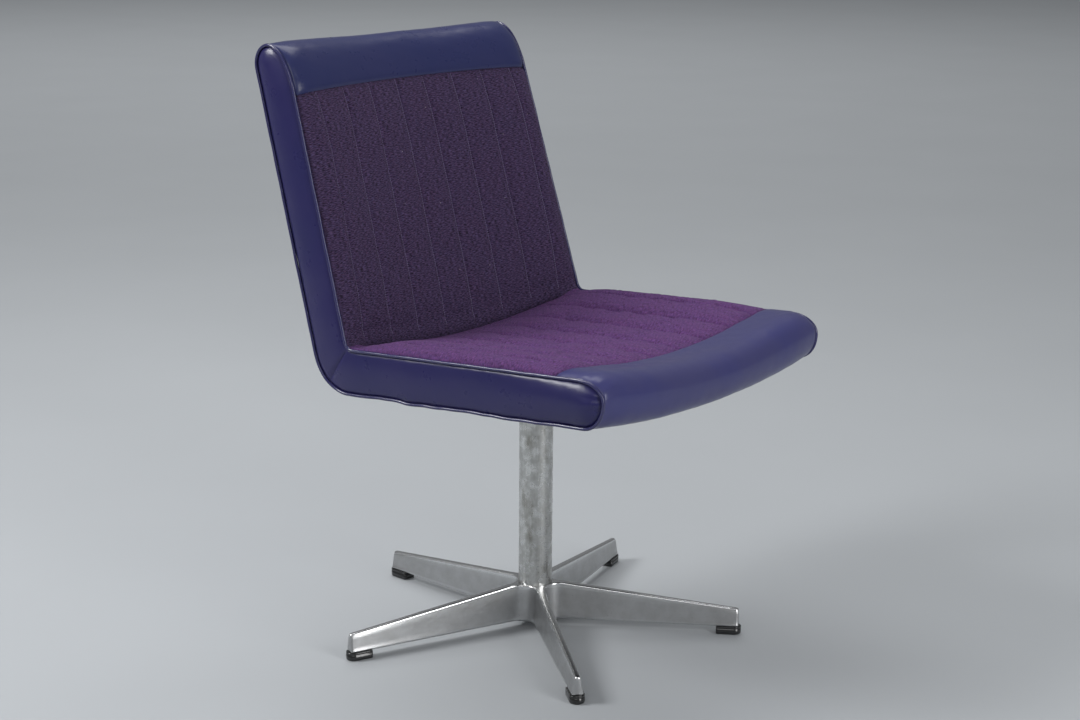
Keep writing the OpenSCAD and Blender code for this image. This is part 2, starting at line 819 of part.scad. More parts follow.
// Foam pads between the shell and the covers. They have fewer columns than the
// quilts over them, so they lie a little lower, and they stop just short of each
// other in the corner.
foam_slack = 0.4;
foam_bend_shares = [0, 1 / 3, 2 / 3, 0.98];
function edge_rise(front, deep, shallow, steps) =
    [for (k = [1 : steps]) [front, deep + (shallow - deep) * k / steps]];
function seat_foam_face(x) =
    let (
        under_quilt = quilt_t + join_gap + foam_slack,
        under_vinyl = vinyl_t + join_gap
    )
    concat(
        [for (t = foam_turns) seat_at(x, nose_below(x, under_vinyl, t))],
        [seat_at(x, nose_over(x, under_vinyl, 0))],
        [for (t = reversed(foam_turns)) seat_at(x, nose_over(x, under_vinyl, t))],
        [
            seat_at(x, [front_seam + sewn_run, nose_top(x) + under_vinyl])
        ],
        [for (v = concat([1], row_shares))
            seat_at(x, [front_seam * v, seat_top(x, front_seam * v) + under_quilt])],
        [for (t = foam_bend_shares) seat_at(x, seat_fold(x, under_quilt, t * half_turn))]
    );
function seat_foam_far(x) =
    let (
        edge = nose_len(x) - shell_nose + join_gap,
        near = seat_under(x) - shell_inset,
        deep = seat_under(x) - foam_inset
    )
    concat(
        [for (p = reversed(edge_rise(edge, deep, near, 6))) seat_at(x, p)],
        [seat_at(x, [edge, deep]), seat_at(x, [edge - sewn_run, deep])],
        [seat_at(x, [front_seam, deep])],
        [for (v = row_shares) seat_at(x, [front_seam * v, deep])],
        [for (t = foam_bend_shares) seat_at(x, seat_corner(x, foam_inset, t * half_turn))]
    );
module seat_foam() {
    color(foam_colour)
    skin(
        [for (x = columns(cover_x)) seat_foam_face(x)],
        [for (x = columns(cover_x)) seat_foam_far(x)]
    );
}
function back_foam_face(x) =
    let (
        under_quilt = quilt_t + join_gap + foam_slack,
        under_vinyl = vinyl_t + join_gap
    )
    concat(
        [for (t = reversed(foam_bend_shares))
            back_at(x, back_fold(x, under_quilt, t * half_turn))],
        [for (v = concat(reversed(row_shares), [1]))
            back_at(x, [top_seam * v, back_face(x, top_seam * v) + under_quilt])],
        [for (t = foam_turns) back_at(x, top_over(x, under_vinyl, t))],
        [back_at(x, top_over(x, under_vinyl, 0))],
        [for (t = reversed(foam_turns)) back_at(x, top_behind(x, under_vinyl, t))]
    );
function back_foam_far(x) =
    let (
        edge = top_len(x) - shell_top + join_gap,
        near = back_rear(x) - shell_inset,
        deep = back_rear(x) - foam_inset
    )
    concat(
        [for (t = reversed(foam_bend_shares))
            back_at(x, back_corner(x, foam_inset, t * half_turn))],
        [for (v = concat(reversed(row_shares), [1])) back_at(x, [top_seam * v, deep])],
        [back_at(x, [edge - sewn_run, deep]), back_at(x, [edge, deep])],
        [for (p = edge_rise(edge, deep, near, 5)) back_at(x, p)]
    );
module back_foam() {
    color(foam_colour)
    skin(
        [for (x = columns(cover_x)) back_foam_face(x)],
        [for (x = columns(cover_x)) back_foam_far(x)]
    );
}

// Quilted fabric panels, with a channel between each seam and the next
fold_fade_shares = [1, 0.6, 0];
function seat_panel_rows(x, inset, quilted) =
    let (
        dip = quilted * seat_channel_dip * on_seam(x),
        hem = max(dip, quilted * sewn_dip),
        run = front_seam - join_gap / 2
    )
    concat(
        [seat_at(x, [run, seat_top(x, run) + inset + hem])],
        [for (s = concat([run - sewn_run], run * row_shares))
            seat_at(x, [s, seat_top(x, s) + inset + dip])],
        [for (k = [0 : 2])
            seat_at(x, seat_fold(x, inset + dip * fold_fade_shares[k], k / 2 * half_turn))]
    );
function back_panel_rows(x, inset, quilted) =
    let (
        dip = quilted * back_channel_dip * on_seam(x),
        hem = max(dip, quilted * sewn_dip),
        run = top_seam - join_gap / 2
    )
    concat(
        [for (k = [2, 1, 0])
            back_at(x, back_fold(x, inset + dip * fold_fade_shares[k], k / 2 * half_turn))],
        [for (h = concat(run * reversed(row_shares), [run - sewn_run]))
            back_at(x, [h, back_face(x, h) + inset + dip])],
        [back_at(x, [run, back_face(x, run) + inset + hem])]
    );
module seat_panel() {
    color(seat_fabric_colour)
    skin(
        [for (x = quilt_columns) seat_panel_rows(x, 0, 1)],
        [for (x = quilt_columns) seat_panel_rows(x, quilt_t, 0)]
    );
}
module back_panel() {
    color(back_fabric_colour)
    skin(
        [for (x = quilt_columns) back_panel_rows(x, 0, 1)],
        [for (x = quilt_columns) back_panel_rows(x, quilt_t, 0)]
    );
}

// Vinyl rolls round the nose and over the top
function front_roll_rows(x, inset) = concat(
    [seat_at(x, [nose_len(x) - nose_under_depth - front_tail, seat_under(x) - inset])],
    [for (t = round_turns) seat_at(x, nose_below(x, inset, t))],
    [seat_at(x, nose_over(x, inset, 0))],
    [for (t = reversed(round_turns)) seat_at(x, nose_over(x, inset, t))],
    [
        seat_at(x, [front_seam + join_gap / 2 + sewn_run, nose_top(x) + inset]),
        seat_at(x, [front_seam + join_gap / 2, nose_top(x) + sewn_dip + inset])
    ]
);
function top_roll_rows(x, inset) = concat(
    [back_at(x, [top_seam + join_gap / 2, top_face(x) + sewn_dip + inset])],
    [for (t = round_turns) back_at(x, top_over(x, inset, t))],
    [back_at(x, top_over(x, inset, 0))],
    [for (t = reversed(round_turns)) back_at(x, top_behind(x, inset, t))],
    [back_at(x, [top_len(x) - top_rear_depth - top_tail, back_rear(x) - inset])]
);
module front_roll() {
    color(roll_colour)
    skin(
        [for (x = columns(cover_x)) front_roll_rows(x, 0)],
        [for (x = columns(cover_x)) front_roll_rows(x, vinyl_t)]
    );
}
module top_roll() {
    color(roll_colour)
    skin(
        [for (x = columns(cover_x)) top_roll_rows(x, 0)],
        [for (x = columns(cover_x)) top_roll_rows(x, vinyl_t)]
    );
}

// Linings under the seat and behind the back, up to the rolls' tails
function under_rows(x, inset) =
    let (front = nose_len(x) - nose_under_depth - front_tail - join_gap)
    concat(
        [for (s = [front, front / 2]) seat_at(x, [s, seat_under(x) - inset])],
        [for (t = bend_shares) seat_at(x, seat_corner(x, inset, t * half_turn))]
    );
function behind_rows(x, inset) =
    let (top = top_len(x) - top_rear_depth - top_tail - join_gap)
    concat(
        [for (t = reversed(bend_shares)) back_at(x, back_corner(x, inset, t * half_turn))],
        [for (h = [top / 2, top]) back_at(x, [h, back_rear(x) - inset])]
    );
module under_cover() {
    color(lining_colour)
    difference() {
        skin(
            [for (x = columns(cover_x)) under_rows(x, lining_t)],
            [for (x = columns(cover_x)) under_rows(x, 0)]
        );
        at_plate_bolts()
            translate([0, 0, -plate_depth])
                cylinder(r = bolt_r + bolt_play, h = plate_depth - tee_end);
    }
}
module back_cover() {
    color(band_colour)
    skin(
        [for (x = columns(cover_x)) behind_rows(x, lining_t)],
        [for (x = columns(cover_x)) behind_rows(x, 0)]
    );
}

// Side bands: swelled strips inside the loop of the piping
band_inset = piping_r + join_gap;
band_shares = [0, 0.07, 0.25, 0.5, 0.75, 0.93, 1];
band_turns = [90, 72, 54, 36, 18, 5];
// Pairs of points across a band, from the mitre to the nose or the top
function seat_band_pairs(inset) = concat(
    [for (t = [1, 0.5, 0]) [
        seat_fold(half_w, inset, t * half_turn),
        seat_corner(half_w, inset, t * half_turn)
    ]],
    [for (s = [1 / 3, 2 / 3]) [
        [s * seat_len, inset],
        [s * seat_len, pad_t - inset]
    ]],
    [for (t = band_turns) [nose_over(half_w, inset, t), nose_below(half_w, inset, t)]]
);
function back_band_pairs(inset) = concat(
    [for (t = [1, 0.5, 0]) [
        back_fold(half_w, inset, t * half_turn),
        back_corner(half_w, inset, t * half_turn)
    ]],
    [for (h = [1 / 4, 1 / 2, 3 / 4]) [
        [h * back_h, inset],
        [h * back_h, pad_t - inset]
    ]],
    [for (t = band_turns) [top_over(half_w, inset, t), top_behind(half_w, inset, t)]]
);
function across(pair, share) = pair[0] + (pair[1] - pair[0]) * share;
function swell(share) = band_crown * (1 - pow(2 * share - 1, 4));
module seat_band() {
    pairs = seat_band_pairs(band_inset);
    color(band_colour)
    skin(
        [for (p = pairs) [for (v = band_shares) seat_at(half_w + swell(v), across(p, v))]],
        [for (p = pairs) [for (v = band_shares) seat_at(half_w - piping_r, across(p, v))]]
    );
}
module back_band() {
    pairs = back_band_pairs(band_inset);
    color(band_colour)
    skin(
        [for (p = pairs) [for (v = band_shares) back_at(half_w - piping_r, across(p, v))]],
        [for (p = pairs) [for (v = band_shares) back_at(half_w + swell(v), across(p, v))]]
    );
}
module seat_band_left() { seat_band(); }
module seat_band_right() { mirror([1, 0, 0]) seat_band(); }
module back_band_left() { back_band(); }
module back_band_right() { mirror([1, 0, 0]) back_band(); }

// Piping: one closed loop of cord round each side
piping_sides = 6;
piping_turns = [75, 60, 45, 30, 15];
piping_path = concat(
    [for (t = concat([90], piping_turns)) seat_at(half_w, nose_below(half_w, 0, t))],
    [seat_at(half_w, nose_over(half_w, 0, 0))],
    [for (t = concat(reversed(piping_turns), [90])) seat_at(half_w, nose_over(half_w, 0, t))],
    [for (s = [2 / 3, 1 / 3]) seat_at(half_w, [s * seat_len, 0])],
    [for (t = [0, 0.5, 1]) seat_at(half_w, seat_fold(half_w, 0, t * half_turn))],
    [for (t = [0.5, 0]) back_at(half_w, back_fold(half_w, 0, t * half_turn))],
    [for (h = [1 / 3, 2 / 3]) back_at(half_w, [h * back_h, 0])],
    [for (t = concat([90], piping_turns)) back_at(half_w, top_over(half_w, 0, t))],
    [back_at(half_w, top_over(half_w, 0, 0))],
    [for (t = concat(reversed(piping_turns), [90])) back_at(half_w, top_behind(half_w, 0, t))],
    [for (h = [2 / 3, 1 / 3]) back_at(half_w, [h * back_h, pad_t])],
    [for (t = [0, 0.25, 0.5, 0.75, 1]) back_at(half_w, back_corner(half_w, 0, t * half_turn))],
    [for (t = [0.75, 0.5, 0.25, 0]) seat_at(half_w, seat_corner(half_w, 0, t * half_turn))],
    [for (s = [1 / 3, 2 / 3]) seat_at(half_w, [s * seat_len, pad_t])]
);
module piping() {
    count = len(piping_path);
    function ring(k) =
        let (
            ahead = piping_path[(k + 1) % count] - piping_path[(k + count - 1) % count],
            along = ahead / norm(ahead),
            side = [0, along[2], -along[1]]
        )
        [for (q = [0 : piping_sides - 1])
            let (turn = (q + 0.5) * 360 / piping_sides)
            piping_path[k] + piping_r * ([cos(turn), 0, 0] + sin(turn) * side)];
    color(piping_colour)
    polyhedron(
        points = [for (k = [0 : count - 1]) for (p = ring(k)) p],
        faces = [for (k = [0 : count - 1]) for (q = [0 : piping_sides - 1])
            let (
                here = k * piping_sides,
                next = ((k + 1) % count) * piping_sides,
                beside = (q + 1) % piping_sides
            )
            for (f = quad(here + q, next + q, next + beside, here + beside)) f],
        convexity = 6
    );
}
module piping_left() { piping(); }
module piping_right() { mirror([1, 0, 0]) piping(); }

base_casting();
glide_1();
glide_2();
glide_3();
glide_4();
glide_5();
column_tube();
foot_plug();
hub_washer();
hub_bolt();
lower_bush();
upper_bush();
lower_race();
ball_cage();
bearing_balls();
upper_race();
spindle();
spindle_clip();
seat_plate();
plate_bolts();
plate_washers();
plate_spacers();
tee_nuts();
moulded_shell();
seat_foam();
back_foam();
seat_panel();
back_panel();
front_roll();
top_roll();
seat_band_left();
seat_band_right();
back_band_left();
back_band_right();
piping_left();
piping_right();
under_cover();
back_cover();
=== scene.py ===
"""An armless swivel chair, dressed for a studio picture.

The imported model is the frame: every piece here lies in its space and rides on
its bodies. Lengths are in metres. A sitter faces -Y, +X is the sitter's left,
and the swivel axis is the Z axis.
"""
import json
import logging
import math
from collections.abc import Callable
from dataclasses import dataclass, field
from enum import Enum
from random import Random

import bmesh
import bpy
import numpy as np
from mathutils import Matrix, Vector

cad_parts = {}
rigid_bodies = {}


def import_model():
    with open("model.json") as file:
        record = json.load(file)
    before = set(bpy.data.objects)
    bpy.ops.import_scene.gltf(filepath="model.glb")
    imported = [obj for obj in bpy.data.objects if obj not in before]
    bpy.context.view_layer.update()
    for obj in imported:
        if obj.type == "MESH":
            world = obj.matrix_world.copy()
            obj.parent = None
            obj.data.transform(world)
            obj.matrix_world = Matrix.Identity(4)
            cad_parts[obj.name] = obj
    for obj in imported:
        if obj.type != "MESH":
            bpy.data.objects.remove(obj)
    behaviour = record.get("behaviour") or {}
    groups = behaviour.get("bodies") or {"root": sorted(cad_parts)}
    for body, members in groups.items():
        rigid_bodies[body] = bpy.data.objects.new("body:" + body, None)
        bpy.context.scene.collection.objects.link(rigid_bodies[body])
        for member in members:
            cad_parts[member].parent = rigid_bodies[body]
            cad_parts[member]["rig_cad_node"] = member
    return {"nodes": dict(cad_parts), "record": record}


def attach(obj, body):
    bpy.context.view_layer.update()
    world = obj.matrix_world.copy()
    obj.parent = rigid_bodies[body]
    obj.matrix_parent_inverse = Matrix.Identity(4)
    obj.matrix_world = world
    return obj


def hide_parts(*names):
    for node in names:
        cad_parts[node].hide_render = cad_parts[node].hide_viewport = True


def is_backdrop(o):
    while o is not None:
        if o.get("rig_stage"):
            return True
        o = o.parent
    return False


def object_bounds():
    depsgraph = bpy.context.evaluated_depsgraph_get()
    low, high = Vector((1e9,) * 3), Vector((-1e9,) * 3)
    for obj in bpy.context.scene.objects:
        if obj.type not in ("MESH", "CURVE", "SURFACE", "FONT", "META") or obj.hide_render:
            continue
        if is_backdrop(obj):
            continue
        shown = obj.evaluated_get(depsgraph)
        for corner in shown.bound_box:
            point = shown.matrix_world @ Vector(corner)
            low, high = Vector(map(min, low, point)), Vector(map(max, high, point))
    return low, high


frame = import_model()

LOG = logging.getLogger("swivel_chair")
MM = 0.001
Pair = tuple[float, float]
Triple = tuple[float, float, float]
Colour = Triple
Faces = list[tuple[int, ...]]
Array = np.ndarray
Curve = tuple[Array, Array]
Socket = bpy.types.NodeSocket


class Side(Enum):
    """A side of the chair, as the sitter has it."""

    RIGHT = -1
    LEFT = 1

    @property
    def word(self) -> str:
        """The side's name as the frame's nodes have it."""
        return self.name.lower()


class Body(Enum):
    """The rigid bodies of the frame that carry dressed pieces."""

    BASE = "base"
    SEAT = "seat"


class Coordinates(Enum):
    """What a texture follows: the piece's own space, or its unrolled surface."""

    SOLID = "Object"
    SURFACE = "UV"


# Small helpers


def smooth_step(value: Array, low: float, high: float) -> Array:
    """Eases from 0 at low to 1 at high.

    Args:
        value: The numbers to ease.
        low: Where the result is 0.
        high: Where the result is 1.

    Returns:
        Numbers between 0 and 1.
    """
    share = np.clip((np.asarray(value, float) - low) / (high - low), 0.0, 1.0)
    return share * share * (3.0 - 2.0 * share)


class Ripple:
    """Smooth seeded unevenness: plane waves of about one wavelength."""

    def __init__(self, wavelength: float, seed: int, waves: int = 16) -> None:
        """Chooses the waves.

        Args:
            wavelength: Typical distance between two crests.
            seed: Makes the same waves every time.
            waves: Number of plane waves.
        """
        rng = Random(seed)
        directions = []
        for _ in range(waves):
            vector = np.array([rng.gauss(0.0, 1.0) for _ in range(3)])
            length = 2.0 * math.pi / (wavelength * rng.uniform(0.6, 1.7))
            directions.append(vector / np.linalg.norm(vector) * length)
        self.directions = np.array(directions)
        self.phases = np.array([rng.uniform(0.0, 2.0 * math.pi) for _ in range(waves)])

    def at(self, points: Array) -> Array:
        """Heights of about -1 to 1 at the points.

        Args:
            points: Points in the last axis, with 2 or 3 coordinates.

        Returns:
            One height for each point.
        """
        size = points.shape[-1]
        waves = np.cos(points @ self.directions[:, :size].T + self.phases)
        return waves.sum(-1) / math.sqrt(len(self.phases) / 2.0) / 1.6


@dataclass(frozen=True)
class Crease:
    """A soft crease in a cover, from start to end across and along it."""

    start: Pair
    end: Pair
    width: float
    depth: float

    def height(self, across: Array, along: Array) -> Array:
        """Height of the surface over its smooth shape.

        Args:
            across: Places across the cover.
            along: Places along the cover.

        Returns:
            Negative heights in the crease, with a low ridge beside it.
        """
        first, last = np.array(self.start), np.array(self.end)
        run = last - first
        place = np.stack(np.broadcast_arrays(across, along), -1) - first
        share = (place @ run) / (run @ run)
        gap = np.abs(place[..., 0] * run[1] - place[..., 1] * run[0])
        gap = gap / np.linalg.norm(run)
        taper = np.clip(np.minimum((share + 0.1) * 4.0, (1.0 - share) * 1.6), 0.0, 1.0)
        valley = np.exp(-((gap / self.width) ** 2))
        ridge = np.exp(-(((gap - 1.9 * self.width) / self.width) ** 2))
        return self.depth * taper * (0.4 * ridge - valley)


def grid_normals(points: Array) -> Array:
    """Unit normals of a grid of points.

    Args:
        points: The grid, as columns by rows by 3.

    Returns:
        The normals, in the direction of column change cross row change.
    """
    normals = np.cross(np.gradient(points, axis=0), np.gradient(points, axis=1))
    return normals / np.maximum(np.linalg.norm(normals, axis=-1, keepdims=True), 1e-12)


def outward_normals(points: Array, row: int, outward: tuple = (0.0, -0.5, 1.0)) -> Array:
    """Unit normals of a grid, on the side that faces outwards.

    Args:
        points: The grid, as columns by rows by 3.
        row: A row whose middle point tells which side that is.
        outward: A direction that its outer side looks to.

    Returns:
        One normal for each point.
    """
    normals = grid_normals(points)
    return normals * np.sign(normals[len(points) // 2, row] @ np.array(outward))


def grid_quads(number: Array) -> Array:
    """Corner numbers of each face between the numbered points of a grid."""
    corner_grids = [number[:-1, :-1], number[1:, :-1], number[1:, 1:], number[:-1, 1:]]
    return np.stack(corner_grids, -1).reshape(-1, 4)


def ring_faces(rings: int, count: int, loop: bool = False, caps: bool = False) -> Faces:
    """Faces between rings of points that are numbered ring after ring.

    Args:
        rings: Number of rings.
        count: Points of each ring.
        loop: Whether the last ring joins the first one.
        caps: Whether the first and the last ring are closed.

    Returns:
        Corner numbers of each face.
    """
    faces = []
    for ring in range(rings if loop else rings - 1):
        low, high = ring * count, (ring + 1) % rings * count
        for k in range(count):
            n = (k + 1) % count
            faces.append((low + k, low + n, high + n, high + k))
    if caps:
        faces += [tuple(reversed(range(count))), tuple(range((rings - 1) * count, rings * count))]
    return faces


def run_along(points: Array) -> Array:
    """Length at each point of a line of points, or of each column of a grid."""
    steps = np.linalg.norm(np.diff(points, axis=-2), axis=-1)
    return np.concatenate([np.zeros((*steps.shape[:-1], 1)), np.cumsum(steps, -1)], -1)


def at_places(places: Array | float, run: Array, line: Array) -> Array:
    """Points at lengths along a line of points."""
    return np.stack([np.interp(places, run, values) for values in line.T], -1)


def smooth_samples(places: Array, known: Array, values: Array) -> Array:
    """Values between known places, without corners at these.

    Args:
        places: Where values are wanted.
        known: Rising places with known values.
        values: The known values.

    Returns:
        One value for each wanted place.
    """
    slopes = np.gradient(values, known)
    left = np.clip(np.searchsorted(known, places) - 1, 0, len(known) - 2)
    step = known[left + 1] - known[left]
    t = np.clip((places - known[left]) / step, 0.0, 1.0)
    rising = t * t * (3.0 - 2.0 * t)
    leaving, arriving = t * (1.0 - t) ** 2, t * t * (t - 1.0)
    return (values[left] * (1.0 - rising) + values[left + 1] * rising
            + step * (slopes[left] * leaving + slopes[left + 1] * arriving))


def spread(points: list[float], finest: float, growth: float, widest: float) -> Array:
    """Places between each two points, close together at the points themselves.

    Args:
        points: Places that the result holds exactly.
        finest: Step next to a point.
        growth: Ratio of each step to the last one.
        widest: Largest step.

    Returns:
        All places, in order.
    """
    result = [points[0]]
    for low, high in zip(points, points[1:]):
        half, steps, step = (high - low) / 2.0, [0.0], finest
        while steps[-1] + step < half:
            steps.append(steps[-1] + step)
            step = min(step * growth, widest)
        scale = half / (steps[-1] + step / 2.0)
        rising = [low + s * scale for s in steps[1:]]
        falling = [high - s * scale for s in reversed(steps[1:])]
        result += rising + falling + [high]
    return np.array(result)


def link_object(name: str, mesh: bpy.types.Mesh) -> bpy.types.Object:
    """Makes an object of the mesh and links it to the scene."""
    piece = bpy.data.objects.new(name, mesh)
    bpy.context.scene.collection.objects.link(piece)
    return piece


def finish_mesh(
    name: str,
    points: Array,
    faces: Faces,
    flat_places: Array | None = None,
    masks: dict[str, Array] | None = None,
    crease_angle: float = math.radians(38.0),
) -> bpy.types.Object:
    """Makes a smooth-shaded object with outward faces and crisp edges.

    Args:
        name: Name of the piece.
        points: Corner points.
        faces: Corner numbers of each face.
        flat_places: Place of each point on the unrolled surface.
        masks: Number for each point by name, for the materials.
        crease_angle: Edges bent more than this stay crisp.

    Returns:
        The new object.
    """
    mesh = bpy.data.meshes.new(name)
    mesh.from_pydata(points.tolist(), [], faces)
    for mask, values in (masks or {}).items():
        layer = mesh.attributes.new(mask, "FLOAT", "POINT")
        layer.data.foreach_set("value", np.asarray(values, np.float32).ravel())
    if flat_places is not None:
        corners = np.empty(len(mesh.loops), np.int32)
        mesh.loops.foreach_get("vertex_index", corners)
        layer = mesh.uv_layers.new(name="Surface")
        layer.data.foreach_set("uv", flat_places[corners].astype(np.float32).ravel())
    work = bmesh.new()
    work.from_mesh(mesh)
    bmesh.ops.remove_doubles(work, verts=work.verts, dist=1e-6)
    bmesh.ops.recalc_face_normals(work, faces=work.faces)
    for face in work.faces:
        face.smooth = True
    for edge in work.edges:
        edge.smooth = edge.calc_face_angle(0.0) < crease_angle
    work.to_mesh(mesh)
    work.free()
    return link_object(name, mesh)


def closed_cover(name: str, outer: Array, inner: Array, flat_places: Array) -> bpy.types.Object:
    """A closed sheet between two grids of points.

    Args:
        name: Name of the piece.
        outer: Grid of the shown face, as columns by rows by 3.
        inner: Grid of the hidden face.
        flat_places: Place of each grid point on the unrolled surface.

    Returns:
        The new object.
    """
    columns, rows = outer.shape[:2]
    count = columns * rows
    number = np.arange(count).reshape(columns, rows)
    quads = grid_quads(number)
    back = quads[:, ::-1] + count
    border = np.concatenate(
        [number[:, 0], number[-1, 1:], number[-2::-1, -1], number[0, -2:0:-1]])
    following = np.roll(border, -1)
    rim = np.stack([border, following, following + count, border + count], -1)
    faces = np.concatenate([quads, back, rim]).tolist()
    points = np.concatenate([outer.reshape(-1, 3), inner.reshape(-1, 3)])
    flat = flat_places.reshape(-1, 2)
    return finish_mesh(name, points, faces, np.concatenate([flat, flat]))


def swept_tube(name: str, path: Array, radius: float, sides: int = 12) -> bpy.types.Object:
    """A closed loop of cord that lies nearly in a plane of constant X.

    Args:
        name: Name of the piece.
        path: Points of the closed loop.
        radius: Radius of the cord.
        sides: Number of sides of the cord.

    Returns:
        The new object.
    """
    along = np.roll(path, -1, 0) - np.roll(path, 1, 0)
    along /= np.linalg.norm(along, axis=1, keepdims=True)
    out = np.cross(along, [1.0, 0.0, 0.0])
    out /= np.linalg.norm(out, axis=1, keepdims=True)
    side = np.cross(out, along)
    turns = np.arange(sides) / sides * 2.0 * math.pi
    ring = np.cos(turns)[:, None] * side[:, None] + np.sin(turns)[:, None] * out[:, None]
    points = (path[:, None] + radius * ring).reshape(-1, 3)
    run = run_along(path)[:, None]
    flat = np.stack(np.broadcast_arrays(run, turns * radius), -1).reshape(-1, 2)
    return finish_mesh(name, points, ring_faces(len(path), sides, loop=True), flat)


# Finishes


class MixKind(Enum):
    """What a Mix node mixes: its data type, and the numbers of its inputs and output."""

    COLOUR = ("RGBA", 6, 7, 2)
    NUMBER = ("FLOAT", 2, 3, 0)


class Nodes:
    """A node tree, with short ways to add nodes to it."""

    def __init__(self, tree: bpy.types.NodeTree) -> None:
        """Takes the tree that the nodes go to."""
        self.tree = tree

    def add(
        self, kind: str, inputs: dict[str | int, object] | None = None, **settings: object
    ) -> bpy.types.Node:
        """Adds a node.

        Args:
            kind: The node's type.
            inputs: Values or sockets for its inputs, by name or number.
            settings: Values for its own settings.

        Returns:
            The new node.
        """
        node = self.tree.nodes.new(kind)
        for name, value in settings.items():
            setattr(node, name, value)
        for name, value in (inputs or {}).items():
            if isinstance(value, Socket):
                self.tree.links.new(value, node.inputs[name])
            else:
                node.inputs[name].default_value = value
        return node

    def math(self, operation: str, *values: object) -> Socket:
        """Adds a Math node and gives its result."""
        return self.add("ShaderNodeMath", dict(enumerate(values)), operation=operation).outputs[0]

    def mix(
        self, factor: object, first: object, second: object,
        kind: MixKind = MixKind.COLOUR, blend: str = "MIX",
    ) -> Socket:
        """Adds a Mix node.

        Args:
            factor: Share of the second value.
            first: Value or socket for a factor of 0.
            second: Value or socket for a factor of 1.
            kind: Whether colours or numbers are mixed.
            blend: How colours are mixed.

        Returns:
            The mixed value.
        """
        data_type, low, high, result = kind.value
        node = self.add("ShaderNodeMix", {"Factor": factor, low: first, high: second},
                        data_type=data_type, blend_type=blend)
        return node.outputs[result]

    def ramp(
        self, value: object, result: tuple = (0.0, 1.0), start: tuple = (0.0, 1.0),
        **settings: object,
    ) -> Socket:
        """Maps a value from one range to another.

        Args:
            value: The value, which is held within its range.
            result: Results at the range's ends.
            start: The value's range.
            settings: Values for the node's own settings.

        Returns:
            The mapped value.
        """
        inputs = {"Value": value, "From Min": start[0], "From Max": start[1],
                  "To Min": result[0], "To Max": result[1]}
        return self.add("ShaderNodeMapRange", inputs, **settings).outputs[0]


def spaced(inputs: dict[str, object]) -> dict[str, object]:
    """The same inputs, with spaces for the underscores in their names."""
    return {name.replace("_", " "): value for name, value in inputs.items()}


class EffectGroup(Nodes):
    """A shader node group with named inputs and outputs."""

    def __init__(self, name: str, inputs: dict[str, object], outputs: tuple[str, ...]) -> None:
        """Makes the group with its sockets.

        Args:
            name: Name of the group.
            inputs: Default of each input; a colour has 4 numbers and None is a vector.
            outputs: Names of the outputs, of which only Colour is a colour.
        """
        super().__init__(bpy.data.node_groups.new(name, "ShaderNodeTree"))
        kinds = {type(None): "NodeSocketVector", float: "NodeSocketFloat", tuple: "NodeSocketColor"}
        for label, value in inputs.items():
            socket = self.tree.interface.new_socket(
                name=label, in_out="INPUT", socket_type=kinds[type(value)])
            if value is not None:
                socket.default_value = value
        for label in outputs:
            kind = "NodeSocketColor" if label == "Colour" else "NodeSocketFloat"
            self.tree.interface.new_socket(name=label, in_out="OUTPUT", socket_type=kind)
        self.given = self.tree.nodes.new("NodeGroupInput").outputs
        self.end = self.tree.nodes.new("NodeGroupOutput")

    def noise(self, vector: object, scale: object, detail: float, roughness: float) -> Socket:
        """Adds a Noise Texture and gives its value."""
        inputs = {"Vector": vector, "Scale": scale, "Detail": detail, "Roughness": roughness}
        return self.add("ShaderNodeTexNoise", inputs).outputs["Fac"]

    def cells(self, scale: Socket, **settings: object) -> bpy.types.Node:
        """Adds a Voronoi Texture."""
        inputs = {"Vector": self.given["Vector"], "Scale": scale}
        return self.add("ShaderNodeTexVoronoi", inputs, **settings)

    def put(self, **sources: Socket) -> bpy.types.NodeTree:
        """Links sources to the group's outputs, and gives the finished group."""
        for label, source in sources.items():
            self.tree.links.new(source, self.end.inputs[label])
        return self.tree


